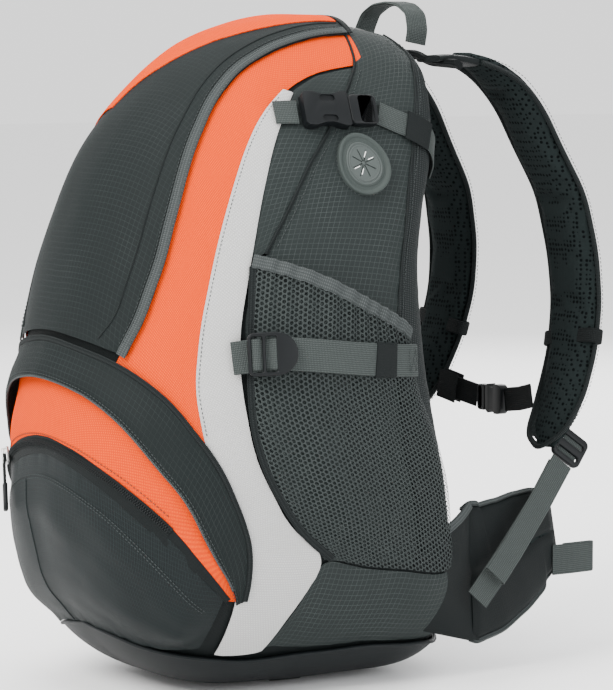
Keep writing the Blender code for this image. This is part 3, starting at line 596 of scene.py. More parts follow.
def tape_section(wide, thick):
    """Round-edged flat section: x across, y out."""
    x = np.linspace(-1, 1, 9) * (wide / 2 - thick / 2)
    top = np.stack([x, np.full(9, thick / 2)], -1)
    low = np.stack([x[::-1], np.full(9, -thick / 2)], -1)
    tip = np.array([[wide / 2, 0.0]])
    return np.concatenate([top, tip, low, -tip])


def round_section(radius, count=10):
    a = np.arange(count) * 2 * np.pi / count
    return np.stack([np.sin(a), np.cos(a)], -1) * radius


def sweep_mesh(path, outs, section, scale=None, close=False):
    """(verts, faces, uv) of a section along a path; scale gives width and depth factors."""
    _, side, out = across_frames(path, outs)
    path = np.asarray(path, float)
    n, k = len(path), len(section)
    factor = np.ones((n, 2)) if scale is None else np.asarray(scale, float)
    x = section[None, :, 0] * factor[:, :1]
    y = section[None, :, 1] * factor[:, 1:]
    verts = path[:, None] + side[:, None] * x[..., None] + out[:, None] * y[..., None]
    run = lengths(path)
    uv = np.stack([x, np.broadcast_to(run[:, None], x.shape)], -1)
    faces = []
    for i in range(n if close else n - 1):
        j = (i + 1) % n
        for a in range(k):
            b = (a + 1) % k
            faces.append([i * k + a, j * k + a, j * k + b, i * k + b])
    if not close:
        faces.append(list(range(k)))
        faces.append([(n - 1) * k + a for a in range(k - 1, -1, -1)])
    return verts.reshape(-1, 3), [f[::-1] for f in faces], uv.reshape(-1, 2)


def ribbon(name, path, outs, wide, thick, look, body="pack", scale=None):
    """A flat strap along a path."""
    v, f, uv = sweep_mesh(path, outs, tape_section(wide, thick), scale)
    return shape(name, v, f, look, body, uv)


def cordage(name, path, radius, look, body="pack", close=False):
    """A round cord along a path; its frame hangs from a direction that no path here follows."""
    v, f, uv = sweep_mesh(path, (0.13, 0.31, 0.94), round_section(radius), None, close)
    return shape(name, v, f, look, body, uv, 80)


def skin_path(points, count, off, lead=0.0, trail=0.0):
    q = snap(along(points, count, lead, trail), off)
    return q, outward(snap(q, soft=False))


def tape(name, points, off, wide, thick, look, count=80, body="pack", lead=0.0, trail=0.0):
    q, outs = skin_path(points, count, off, lead, trail)
    return ribbon(name, q, outs, wide, thick, look, body)


def piping(name, points, off, radius, look, count=90, body="pack", lead=0.0, trail=0.0):
    q, _ = skin_path(points, count, off, lead, trail)
    return cordage(name, q, radius, look, body)


def stitch_mesh(path, outs, pitch=3.3, length=2.2, radius=0.32, rows=(0.0,)):
    """Thread stitches lying along a path."""
    path = np.asarray(path, float)
    run = lengths(path)
    _, side, out = across_frames(path, outs)
    parts = []
    for shift in rows:
        for at in np.arange(pitch * 0.8, run[-1] - pitch * 0.4, pitch):
            spots = at + np.array([-0.5, -0.3, 0.3, 0.5]) * length
            p = at_run(spots, run, path)
            s = at_run(at, run, side)
            o = at_run(at, run, out)
            p = p + s * shift + o * radius * np.array([-0.4, 0.7, 0.7, -0.4])[:, None]
            thin = np.array([[0.4, 0.4], [1, 1], [1, 1], [0.4, 0.4]])
            parts.append(sweep_mesh(p, o, round_section(radius, 6), thin))
    return joined(parts)


def stitches(name, path, outs, look="thread", body="pack", **how):
    v, f, uv = stitch_mesh(path, outs, **how)
    return shape(name, v, f, look, body, uv, 80)


def seam_stitches(name, points, off, look="thread", body="pack", **how):
    q, outs = skin_path(points, 90, off, 0.02, 0.02)
    return stitches(name, q, outs, look, body, **how)


def box_stitch(name, centre, axes, wide, long, off, body="pack"):
    """A sewn rectangle with a cross, where webbing is held."""
    a, b, c = axes
    corners = [(-1, -1), (1, -1), (1, 1), (-1, 1), (-1, -1)]
    lines = list(zip(corners, corners[1:])) + [((-1, -1), (1, 1)), ((-1, 1), (1, -1))]
    parts = []
    for line in lines:
        ends = [centre + a * x * wide / 2 + b * y * long / 2 + c * off for x, y in line]
        parts.append(stitch_mesh(np.linspace(*ends, 8), c, 2.6, 1.8, 0.3))
    v, f, uv = joined(parts)
    return shape(name, v, f, "thread", body, uv, 80)


def plate(name, outline, thick, centre, axes, look, body, round_by, holes=()):
    """A moulded plate with rounded edges; holes are (outline, lowest, highest)."""
    a, b, c = [np.asarray(v, float) for v in axes]
    centre = np.asarray(centre, float)

    def prism(points, low, high):
        part = bmesh.new()
        rings = []
        for z in (low, high):
            rings.append([part.verts.new((centre + a * x + b * y + c * z) * MM) for x, y in points])
        k = len(points)
        part.faces.new(rings[0][::-1])
        part.faces.new(rings[1])
        for i in range(k):
            j = (i + 1) % k
            part.faces.new([rings[0][i], rings[0][j], rings[1][j], rings[1][i]])
        bmesh.ops.recalc_face_normals(part, faces=part.faces)
        me = bpy.data.meshes.new("part")
        part.to_mesh(me)
        part.free()
        return me

    me = prism(outline, -thick / 2, thick / 2)
    me.name = name
    obj = bpy.data.objects.new(name, me)
    bpy.context.scene.collection.objects.link(obj)
    cutters = []
    for hole in holes:
        tool = bpy.data.objects.new(name + "_tool", prism(*hole))
        bpy.context.scene.collection.objects.link(tool)
        cutters.append(tool)
        m = obj.modifiers.new("cut", "BOOLEAN")
        m.object = tool
        m.solver = "EXACT"
    bevel = obj.modifiers.new("edge", "BEVEL")
    bevel.width = round_by * MM
    bevel.segments = 3
    bevel.limit_method = "ANGLE"
    bevel.angle_limit = math.radians(35)
    bpy.context.view_layer.update()
    baked = bpy.data.meshes.new_from_object(obj.evaluated_get(bpy.context.evaluated_depsgraph_get()))
    baked.name = name
    obj.modifiers.clear()
    obj.data = baked
    bpy.data.meshes.remove(me)
    for tool in cutters:
        data = tool.data
        bpy.data.objects.remove(tool)
        bpy.data.meshes.remove(data)
    baked.shade_smooth()
    baked.set_sharp_from_angle(angle=math.radians(38))
    baked.materials.clear()
    baked.materials.append(M[look])
    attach(obj, body)
    return obj


def rounded(w, h, r):
    """A rectangle's outline with round corners."""
    steps = 5
    pts = []
    for cx, cy, start in ((w / 2 - r, h / 2 - r, 0), (r - w / 2, h / 2 - r, 90),
                          (r - w / 2, r - h / 2, 180), (w / 2 - r, r - h / 2, 270)):
        for k in range(steps + 1):
            t = math.radians(start + 90 * k / steps)
            pts.append((cx + r * math.cos(t), cy + r * math.sin(t)))
    return pts


def moved(points, x=0.0, y=0.0):
    return [(px + x, py + y) for px, py in points]


def coil(name, path, outs, wide):
    """A closed zip coil: two rows of small loops that mesh down the middle."""
    pitch = 2.0
    path = np.asarray(path, float)
    run = lengths(path)
    way, side, out = across_frames(path, outs)
    parts = []
    for k, at in enumerate(np.arange(pitch, run[-1] - pitch, pitch / 2)):
        p, w, s, o = [at_run(at, run, g) for g in (path, way, side, out)]
        hand = 1 if k % 2 else -1
        arc = np.radians(np.linspace(0, 180, 5))
        pts = p + s * (hand * (0.25 + 0.45 * wide * np.sin(arc))[:, None] * 0.9) + o * (
            0.75 * np.cos(arc)[:, None] + 0.5)
        parts.append(sweep_mesh(pts, w, round_section(0.42, 5)))
    v, f, uv = joined(parts)
    return shape(name, v, f, "coil", "pack", uv, 80)


# the bag -------------------------------------------------------------------------------------

def turn_of(p):
    return np.arctan2(p[..., 2] - HUB[2], HUB[1] - p[..., 1]) % (2 * np.pi)


def make_skin():
    """The bag's own cloth, all round, open under the flap."""
    rings, around = 110, 220
    tilt = np.radians(np.linspace(-89.5, 89.5, rings))
    turn = np.linspace(0, 2 * np.pi, around + 1)
    t, p = np.meshgrid(turn, tilt, indexing="ij")
    way = np.stack([np.sin(p), -np.cos(p) * np.cos(t), np.cos(p) * np.sin(t)], -1)
    start = cast(HUB, way)
    top = start + outward(start) * (slump(start)[..., None] - 0.6)
    under = top - outward(start) * 1.2
    edge = np.array(FLAP_EDGE, float)
    order = np.argsort(turn_of(edge))
    reach = np.interp(turn_of(start), turn_of(edge)[order], edge[order, 0], left=-1, right=-1) - 11
    hole = (np.abs(start[..., 0]) < reach) & (start[..., 1] < 34) & (start[..., 2] > 306)
    hole[-1] = hole[0]
    n, m = around, rings
    verts = np.concatenate([top[:-1].reshape(-1, 3), under[:-1].reshape(-1, 3)])
    size = n * m
    uv = measured(top)[:-1].reshape(-1, 2)
    keep = ~(hole[:-1, :-1] & hole[1:, :-1] & hole[:-1, 1:] & hole[1:, 1:])
    faces = []
    for i in range(n):
        j = (i + 1) % n
        for k in range(m - 1):
            if not keep[i, k]:
                continue
            faces.append([i * m + k, i * m + k + 1, j * m + k + 1, j * m + k])
            faces.append([size + j * m + k, size + j * m + k + 1, size + i * m + k + 1, size + i * m + k])
            left, right = i * m + k, i * m + k + 1
            low, high = j * m + k, j * m + k + 1
            if k and not keep[i, k - 1]:
                faces.append([low, size + low, size + left, left])
            if k < m - 2 and not keep[i, k + 1]:
                faces.append([right, size + right, size + high, high])
            if not keep[i - 1, k]:
                faces.append([left, size + left, size + right, right])
            if not keep[j, k]:
                faces.append([high, size + high, size + low, low])
    for base, flip in ((0, 1), (size, -1)):
        faces.append([base + i * m for i in range(n)][::flip])
        faces.append([base + i * m + m - 1 for i in range(n)][::-flip])
    return shape("bag_skin", verts, faces, "plain", "pack", np.concatenate([uv, uv]))


skin = make_skin()
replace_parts(skin, "main_shell")

# the opening flap, on its own body
FLAP_LOW = [(0, -196, 284), (0, -188, 320), (0, -172, 372), (0, -147, 424), (0, -110, 468),
            (0, -66, 500), (0, -14, 517), (0, 42, 521)]


def flap_runs():
    """Runs down the flap, from its left edge to its right."""
    runs = []
    for k in (-1, -0.55, 0, 0.55, 1):
        if k == 0:
            runs.append(FLAP_LOW)
            continue
        run = [(x * k, y, z) for x, y, z in FLAP_EDGE]
        if abs(k) < 1:
            run[0] = (44 * np.sign(k), -190, 279)
        runs.append(run)
    return runs


flap = panel("flap_skin", flap_runs(), "dark", 3.9, 1.0, 110, 60, 0.0, 0.5, "flap")
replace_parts(flap, "front_panel")
for side, tag in SIDES:
    inner = [(x - 4.2, y, z) for x, y, z in FLAP_EDGE]
    tape("flap_hem_" + tag, on(inner, side), 4.9, 8.4, 1.3, "hem", 90, "flap", 0.0, 0.003)
    seam = [(x - 10.5, y, z) for x, y, z in FLAP_EDGE]
    seam_stitches("flap_stitch_" + tag, on(seam, side), 4.2, "thread", "flap")
    seam_stitches("flap_hem_stitch_" + tag, on(inner, side), 5.6, "thread", "flap", rows=(-2.9, 2.9))
    far_seam = [(x * 0.72, y, z) for x, y, z in FLAP_EDGE]
    far_seam[0] = (56, -187, 278)
    piping("flap_seam_" + tag, on(far_seam, side), 4.0, 0.75, "dark_hem", 90, "flap", 0.01, 0.01)
tape("flap_top_seam", [(-62, 40, 517), (-40, 41, 520), (0, 42, 521), (40, 41, 520), (62, 40, 517)],
     5.0, 5.0, 1.1, "dark_hem", 40, "flap")
strip_out = on(FLAP_EDGE[4:], -1)
panel("flap_far_strip", [STRIP, strip_out], "orange", 4.7, 0.8, 90, 40, 0.5, 0.2, "flap")
tape("mouth_tape_lower", [(-70, -168, 303), (-40, -184, 305), (0, -192, 306), (40, -184, 305),
                          (70, -168, 303)], 0.2, 9.0, 1.0, "dark_hem", 50)

# colour bands either side
for side, tag in SIDES:
    under = [(66, -183, 250)] + [(x - 7, y, z) for x, y, z in FLAP_EDGE]
    meets = [(139, -112, 160), (136, -124, 205), (132, -131, 238), (126, -122, 290), (120, -107, 348),
             (111, -93, 392), (102, -76, 428), (94, -58, 455), (86.5, -38, 471), (83, -5, 484),
             (84, 36, 489)]
    band = panel("orange_panel_" + tag, [on(under, side), on(meets, side)], "orange", 0.9, 0.8, 120, 34,
                 0.7, 0.2)
    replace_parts(band, "orange_band_" + tag)
    band = panel("pale_panel_" + tag, [on(WHITE_FRONT, side), on(WHITE_BACK, side)], "white", 2.0, 0.9,
                 110, 18, 0.8, 0.3)
    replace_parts(band, "white_band_" + tag)
    inset = [(87, -39, 470)] + [(x + 2.6, y + 1, z) for x, y, z in WHITE_FRONT[1:8]]
    seam_stitches("band_stitch_" + tag, on(inset, side), 2.5)
    # ripstop between the pale band and the diagonal seam, and behind it
    a = [(84, 30, 486)] + SEAM[3:]
    b = [(86, -8, 483), (89, -34, 470)] + WHITE_BACK[1:4]
    panel("gusset_" + tag, [on(a, side), on(b, side)], "side", 0.9, 0.9, 70, 26, 0.6, 0.3, trim=0.004)
    rear = [(47, 79, 509), (64, 90, 495), (110, 64, 442), (129, 45, 389), (137, 34, 329),
            (143, 26, 284), (145, 28, 236), (146, 32, 190), (143, 44, 138), (140, 46, 97)]
    front = SEAM[1:] + [(130, -104, 300), (136, -102, 253), (142, -97, 196), (146, -70, 141),
                        (144, -36, 106)]
    panel("side_upper_" + tag, [on(front, side), on(rear, side)], "side", 0.8, 0.9, 110, 44, 0.8, 0.4,
          trim=0.003)
    piping("arch_seam_" + tag, on(SEAM[1:], side), 1.7, 1.15, "dark_hem", 110)
    seam_stitches("arch_stitch_" + tag, on([(x + 1.5, y + 5.5, z) for x, y, z in SEAM[2:]], side), 1.8)
    back = [(50, 106, 494), (92, 102, 482), (112, 92, 442), (122, 80, 389), (127, 72, 329), (130, 68, 284),
            (131, 70, 236), (131, 80, 190), (130, 88, 138), (128, 88, 97)]
    panel("wing_panel_" + tag, [on(rear, side), on(back, side)], "rib", 0.9, 0.9, 90, 20, 0.5, 0.3,
          trim=0.003)
    piping("rear_seam_" + tag, on(rear, side), 1.4, 0.9, "dark_hem", 110)
    seam_stitches("rear_stitch_" + tag, on([(x, y + 5, z) for x, y, z in rear], side), 1.6)
    # its front edge runs on under the pale band
    foot_top = [(143, -43, 106)] + SIDE_TOP
    foot_low = [(111, -80, 42)] + SIDE_FOOT
    low = panel("side_foot_" + tag, [on(foot_top, side), on(foot_low, side)], "side", 1.2, 1.0, 60, 24,
                0.8, 0.3)
    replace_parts(low, "side_lower_" + tag)

# front pockets
POCKET_HUB = np.array([0.0, -126.9, 88.2])
POCKET_AXIS = np.array([0.0, 0.7976, 0.6032])
POCKET_RADIUS = 131.9
HOOD_MID = [tuple((np.array(a) + np.array(b)) / 2) for a, b in zip(HOOD_TOP, HOOD_LOW)]


def sides(s, reach=0.1):
    return rise(np.minimum(s, 1 - s), 0, reach)


def upper_top(s, t):
    return 3.0 + 4.2 * sides(s) * rise(t, 0.1, 0.6)


def lower_top(s, t):
    folds = (0.9 * ripple(s * 11, t * 3.2, 2.0) + 0.9 * ripple(s * 5 + t, t * 9.0 - s * 6, 7.0)) * sides(s)
    return 3.0 + sides(s) * (4.2 + 6.0 * rise(t, 0, 0.35)) * (1 - rise(t, 0.62, 1.0)) + folds * rise(
        t, 0.05, 0.3) * (1 - rise(t, 0.8, 1))


def hood_top(s, t):
    waves = 0.5 * ripple(s * 26, t * 2.0, 8.0) * rise(t, 0.3, 1)
    return 4.9 + sides(s, 0.16) * 7.4 * rise(t, 0, 0.9) + waves


crescent = panel("pocket_crescent", [whole(HOOD_MID), whole(POCKET_TOP)], "orange", upper_top, 1.2, 150, 26,
                 0.0, 0.2)
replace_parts(crescent, "front_pocket_upper")
pouch = panel("pocket_pouch", [whole(POCKET_TOP), whole(POCKET_FOOT)], "satin", lower_top, 1.2, 150, 50,
              0.0, 0.7, trim=0.004)
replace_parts(pouch, "front_pocket_lower")
hood = panel("pocket_hood_skin", [whole(HOOD_TOP), whole(HOOD_LOW)], "dark", hood_top, 1.3, 150, 26,
             0.0, 0.3)
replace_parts(hood, "pocket_hood")


def hood_line(t, extra):
    """A line across the hood, at a share t of the way down it."""
    count = 150
    s = np.linspace(0, 1, count)
    grid = mix_grid([whole(HOOD_TOP), whole(HOOD_LOW)], count, 11)
    k = int(round(t * 10))
    q = snap(grid[:, k], hood_top(s, np.full(count, t)) + extra)
    return q, outward(snap(grid[:, k], soft=False))


lip, _ = hood_line(1.0, -0.6)
cordage("hood_piping", lip[4:-4], 1.0, "hem")
edge, edge_out = hood_line(0.9, 0.2)
stitches("hood_stitch", edge, edge_out, rows=(0.0, 1.9))
top_q, top_out = skin_path(whole(HOOD_TOP), 130, 5.0)
ribbon("hood_root_seam", top_q, top_out, 4.6, 1.2, "dark_hem")

turns = np.radians(np.linspace(-64, 64, 140))
top_way = np.cross(np.array([1.0, 0, 0]), POCKET_AXIS)
top_way = top_way * math.copysign(1, top_way[2])
arc = POCKET_HUB + POCKET_RADIUS * (
    np.sin(turns)[:, None] * np.array([1.0, 0, 0]) + np.cos(turns)[:, None] * top_way)
arc_out = outward(snap(arc, soft=False))
arc_path = snap(arc, 8.4)
s_rim = np.linspace(0, 1, 180)
rim_base = along(whole(POCKET_TOP), 180)
rim_lift = 3.0 + 4.2 * sides(s_rim)
ribbon("pocket_rim_tape", snap(rim_base, rim_lift - 0.2), outward(snap(rim_base, soft=False)), 15.0, 1.4,
       "plain", scale=np.stack([0.35 + 0.65 * sides(s_rim, 0.2), np.ones(180)], -1))
tape_piece = ribbon("pocket_zip_tape", arc_path, arc_out, 7.0, 0.8, "dark_hem")
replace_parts(tape_piece, "pocket_zip_track")
coil("pocket_zip_coil", snap(arc, 9.0), arc_out, 4.4)
line = snap(arc - np.cross(unit(np.gradient(arc, axis=0)), arc_out) * 7.5, 7.6)
stitches("pocket_zip_stitch_0", line[4:-4], arc_out[4:-4])


def pouch_path(at_s, at_t, extra):
    """Points on the lower pocket's own bulge, by its own two coordinates."""
    top = along(whole(POCKET_TOP), 300)
    foot = along(whole(POCKET_FOOT), 300)
    k = np.linspace(0, 1, 300)
    p = np.stack([np.interp(at_s, k, top[:, j]) * (1 - at_t) + np.interp(at_s, k, foot[:, j]) * at_t
                  for j in range(3)], -1)
    return snap(p, lower_top(at_s, at_t) + extra), outward(snap(p, soft=False))


at_s = np.linspace(0.05, 0.95, 220)
line, line_out = pouch_path(at_s, 0.15 + 0.22 * np.abs(2 * at_s - 1) ** 3, 0.2)
stitches("pouch_stitch", line, line_out, rows=(0.0, 2.4))
at_t = np.linspace(0.16, 0.99, 70)
line, line_out = pouch_path(np.full(70, 0.425), at_t, -0.2)
cordage("pouch_seam", line, 0.8, "satin")
stitches("pouch_seam_stitch", line, line_out, rows=(2.2,))


def dark_base():
    """The bag's dark bottom, a bowl from its rim to the flat foot."""
    rim = np.array(BASE_RIM, float)
    ring = np.concatenate([along(rim, 60)[:-1], along(rim[::-1] * [-1, 1, 1], 60)[:-1]])
    ring[:, 2] += 3.5
    steps = np.linspace(0, 0.9, 26)
    bowl = ring[:, None] * (1 - steps)[None, :, None] + np.array([0, -10, 4.0]) * steps[None, :, None]
    inner, outer = snap(bowl, 1.2, False), snap(bowl, 3.0, False)
    outer[..., 2] = np.where(outer[..., 2] < 2.2, 0.0, outer[..., 2])
    inner[..., 2] = np.maximum(inner[..., 2], 2.0)
    count, deep = bowl.shape[:2]
    size = count * deep
    base_faces = []
    for i in range(count):
        k = (i + 1) % count
        for j in range(deep - 1):
            base_faces.append([size + i * deep + j, size + k * deep + j, size + k * deep + j + 1,
                               size + i * deep + j + 1])
            base_faces.append([i * deep + j, i * deep + j + 1, k * deep + j + 1, k * deep + j])
        base_faces.append([i * deep, k * deep, size + k * deep, size + i * deep])
    base_faces.append([i * deep + deep - 1 for i in range(count)])
    base_faces.append([size + i * deep + deep - 1 for i in range(count)][::-1])
    base_uv = measured(outer).reshape(-1, 2)
    points = np.concatenate([inner.reshape(-1, 3), outer.reshape(-1, 3)])
    base = shape("base_skin", points, base_faces, "base", "pack", np.concatenate([base_uv, base_uv]))
    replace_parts(base, "base_panel")
    cordage("base_seam", snap(ring, 3.4, False), 1.4, "base", close=True)


dark_base()


# side pockets, straps and buckles -------------------------------------------------------------

def mesh_top(s, t):
    gathers = 1.1 * np.sin(s * 2 * np.pi * 11 + 2.5 * np.sin(s * 9)) * (1 - rise(t, 0.0, 0.35)) * sides(s)
    gathers = gathers + 2.2 * ripple(s * 7 + t * 2.0, t * 2.6 - s * 1.5, 6.0) * sides(s) * rise(
        t, 0.02, 0.2) * (1 - rise(t, 0.8, 1))
    return 3.0 + 13.0 * np.sin(np.pi * np.clip(s, 0, 1)) ** 0.8 * (1 - rise(t, 0.45, 1.0)) + gathers


def side_pocket(side, tag):
    """The net pocket with its gathered hem."""
    grid = mix_grid([on(r, side) for r in MESH_RUNS], 120, 80)
    s = np.linspace(0, 1, 120)[:, None]
    t = np.linspace(0, 1, 80)[None]
    top = snap(grid, mesh_top(s, t))
    pocket = sheer("pocket_net_" + tag, top, "net")
    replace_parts(pocket, "mesh_pocket_" + tag)
    hem = along(on(MESH_HEM, side), 120)
    u = np.linspace(0, 1, 120)
    path = snap(hem, mesh_top(u, 0 * u) - 0.4)
    path[:, 2] += 4.6
    outs = outward(snap(hem, soft=False))
    pleat = np.ones((120, 2))
    pleat[:, 0] += 0.05 * np.sin(u * 2 * np.pi * 22)
    band = ribbon("pocket_hem_" + tag, path, outs, 10.5, 2.0, "hem", scale=pleat)
    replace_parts(band, "mesh_hem_" + tag)
    stitches("pocket_hem_stitch_" + tag, path, outs, rows=(-3.4,))
    line = snap(grid[0], mesh_top(np.zeros(1), np.linspace(0, 1, 80)) + 0.4)
    ribbon("pocket_side_tape_0_" + tag, line, outward(snap(grid[0], soft=False)), 6.0, 1.1, "dark_hem")


def upper_strap(side, tag):
    """The upper compression strap with its side-release buckle."""
    front = snap(along(on([(91, -64, 450), (98, -36, 449)], side), 20), 4.2, False)
    front_out = outward(snap(front, soft=False))
    lead = ribbon("upper_strap_front_" + tag, front[7:], front_out[7:], 20, 1.5, "web")
    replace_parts(lead, "upper_web_front_" + tag)
    start = snap(np.array([[98.5 * side, -33, 449]]), [7.5], False)[0]
    end = snap(np.array([[107 * side, 27, 447.5]]), [7.5], False)[0]
    out = outward(snap(np.array([(start + end) / 2]), soft=False))[0]
    ax = basis(end - start, out)
    span = np.linalg.norm(end - start)
    mid = start + ax[0] * 19
    half = [(-19, 12), (-17, 14.2), (-11, 14.5), (-7, 13.4), (-2, 11.8), (4, 11.6), (9, 13), (13, 14.4),
            (17.5, 14.5), (19, 13)]
    waist = half[::-1] + [(x, -y) for x, y in half]
    wells = [(moved(rounded(13, 5.6, 2.7), 1.5, 8.6 * k), 2.4, 6) for k in (-1, 1)]
    socket = plate("clip_socket_" + tag, waist, 8.4, mid, ax, "plastic", "pack", 1.5,
                   wells + [(moved(rounded(22, 17, 2), 13), -2.1, 2.1)])
    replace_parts(socket, "upper_buckle_female_" + tag)
    socket_long = 38.6
    tail_long = span - socket_long
    tail_mid = start + ax[0] * (socket_long + tail_long / 2)
    plug = plate("clip_plug_" + tag, rounded(tail_long, 25, 4), 7.4, tail_mid, ax, "plastic", "pack", 1.4,
                 [(moved(rounded(8.6, 20.5, 1.6), tail_long * 0.08), -6, 6)])
    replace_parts(plug, "upper_buckle_male_" + tag)
    for v in (-6.4, 6.4):
        spot = start + ax[0] * 31.5 + ax[1] * v
        plate("clip_prong_%d_%s" % (v > 0, tag), rounded(25, 4.6, 2), 3.4, spot, ax, "plastic", "pack", 0.7)
    rear_run = on([(107.5, 31, 447), (111, 46, 441), (112, 66, 430), (109, 92, 417)], side)
    rear = snap(along(rear_run, 40), 4.4, False)
    rear_out = outward(snap(rear, soft=False))
    back = ribbon("upper_strap_rear_" + tag, rear, rear_out, 20, 1.5, "web")
    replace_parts(back, "upper_web_rear_" + tag)
    wrap = along(rear_run, 40)[14:27]
    ribbon("upper_keeper_" + tag, snap(wrap, 5.9, False), outward(snap(wrap, soft=False)), 25, 1.6,
           "plain")
    reach, height = np.linspace(-9, 9, 12)[:, None], np.linspace(2.4, 0.8, 12)[:, None]
    turn_in = tail_mid + ax[0] * reach + ax[2] * height
    ribbon("upper_strap_wrap_" + tag, turn_in, ax[2], 19.6, 1.6, "web")


def lower_strap(side, tag):
    """The lower compression strap with its ladder lock."""
    low_run = along(on([(132, -116, 268), (139, -85, 271), (146, -40, 267), (147, 7, 262), (142, 42, 259)],
                       side), 15)
    u = np.linspace(0, 1, 15)
    lift = 6.0 + 13.2 * np.sin(np.pi * np.clip((u - 0.04) / 0.96, 0, 1)) ** 0.62
    low = snap(low_run, lift, False)
    low_out = outward(snap(low, soft=False))
    fine = np.linspace(0, 14, 90)
    long = at_run(fine, np.arange(15), low)
    long_out = unit(at_run(fine, np.arange(15), low_out))
    strap = ribbon("lower_strap_" + tag, long, long_out, 25, 1.5, "web")
    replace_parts(strap, "lower_web_" + tag)
    at = (low[2] + low[3]) / 2
    la = basis(low[4] - low[1], outward(snap(at[None], soft=False))[0])
    spot = at + la[2] * 4.6
    curve = np.radians(np.linspace(90, -90, 17))
    dee = [(2.5 + 16.4 * math.cos(k), 16.4 * math.sin(k)) for k in curve]
    dee += [(-16, -16.4), (-19, -13.5), (-19, 13.5), (-16, 16.4)]
    bars = [(moved(rounded(8.4, 27, 1.6), x), -6, 6) for x in (-12.2, -1.4)]
    lock = plate("ladder_lock_" + tag, dee, 5.0, spot, la, "plastic", "side_adjuster_" + tag, 1.3, bars)
    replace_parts(lock, "lower_lock_" + tag)
    wrap = spot + la[0] * np.linspace(-18, 4.5, 30)[:, None] + la[2] * (
        -0.6 + 1.5 * np.cos(np.linspace(-0.9, 3.2, 30) * 2.0))[:, None]
    ribbon("ladder_wrap_" + tag, wrap, la[2], 24, 1.3, "web", "side_adjuster_" + tag)
    ribbon("lower_keeper_" + tag, long[62:74], long_out[62:74], 27, 3.4, "plain")
    box_stitch("lower_box_" + tag, long[84], (la[1], unit(long[88] - long[80]), long_out[84]), 18, 12, 0.9)


for hand, word in SIDES:
    side_pocket(hand, word)
    upper_strap(hand, word)
    lower_strap(hand, word)


def drink_port():
    """The rubber port for a drinking tube: an egg-shaped ring, a slit star and four pale bars of painted
    highlight.
    """
    rings, around = 79, 256
    port_at = snap(np.array([[122.0, 7, 410]]), [4.0], False)[0]
    port_out = outward(snap(port_at[None], soft=False))[0]
    port_ax = basis(np.array([0.0, 0.94, 0.34]), port_out)
    turn = np.radians(np.arange(around) * 360 / around)
    ring_at = np.concatenate([[1.0, 1.0, 0.995], np.linspace(0.985, 0.02, rings - 3)])
    egg = np.stack([21.5 * np.cos(turn) * (1 - 0.13 * np.sin(turn)), 25 * np.sin(turn)], -1)
    r = np.broadcast_to(ring_at[:, None], (rings, around))
    bumps = 1.9 + 0.75 * rise(r, 0.86, 0.93) * (1 - rise(r, 0.97, 1.0)) - 0.9 * rise(r, 0.72, 0.76) * (
        1 - rise(r, 0.83, 0.87))
    bumps = bumps + 0.35 * np.cos((r - 0.66) * 70) * rise(r, 0.52, 0.56) * (1 - rise(r, 0.70, 0.74))
    ray = np.abs(np.sin(turn * 4))[None] * r * 21 / 4
    bumps = bumps - 1.3 * (1 - rise(ray, 0.22, 0.5)) * rise(r, 0.05, 0.08) * (1 - rise(r, 0.44, 0.48))
    bumps = np.where(np.arange(rings)[:, None] == 0, -2.2, bumps)
    bumps = np.where(np.arange(rings)[:, None] == 1, 1.5, bumps)
    flat = egg[None] * r[..., None]
    port_top = port_at + flat[..., :1] * port_ax[0] + flat[..., 1:] * port_ax[1]
    port_top = port_top + bumps[..., None] * port_ax[2]
    faces = []
    for i in range(rings - 1):
        for j in range(around):
            k = (j + 1) % around
            faces.append([i * around + j, i * around + k, (i + 1) * around + k, (i + 1) * around + j])
    faces.append(list(range(around))[::-1])
    faces.append([(rings - 1) * around + j for j in range(around)])
    port = shape("drink_port", port_top.reshape(-1, 3), faces, "rubber", "pack", flat.reshape(-1, 2), 60)
    port.data.materials.append(M["port_face"])
    radial = np.repeat(ring_at[:-1], around)
    inner_face = np.concatenate([radial < 0.70, [False, True]])
    port.data.polygons.foreach_set("material_index", inner_face.astype(np.int32))
    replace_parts(port, "cable_port")
    # four pale bars on alternate rays: painted highlights where light catches the port
    painted_glints = []
    for k in (0, 1, 4, 5):
        angle = math.pi * k / 4
        ends = np.array([[math.cos(angle) * r_at, math.sin(angle) * r_at] for r_at in (4.5, 9.5)])
        ends = ends + np.array([-math.sin(angle), math.cos(angle)]) * 1.0
        spots = port_at + ends[:, :1] * port_ax[0] + ends[:, 1:] * port_ax[1] + 1.95 * port_ax[2]
        painted_glints.append(sweep_mesh(np.linspace(spots[0], spots[1], 6), port_ax[2], tape_section(0.7, 0.35)))
    v, f, uv = joined(painted_glints)
    shape("port_painted_glints", v, f, "glint", "pack", uv)
    port_ring = port_at + egg[::2, :1] * 1.02 * port_ax[0] + egg[::2, 1:] * 1.02 * port_ax[1]
    port_ring = port_ring - port_ax[2] * 1.4
    stitches("port_stitch", np.concatenate([port_ring, port_ring[:1]]), port_ax[2])


drink_port()


# back and harness ----------------------------------------------------------------------------

VOXEL, PRESSURE, PUFF_FRAMES = 4.0, 4.0, 20


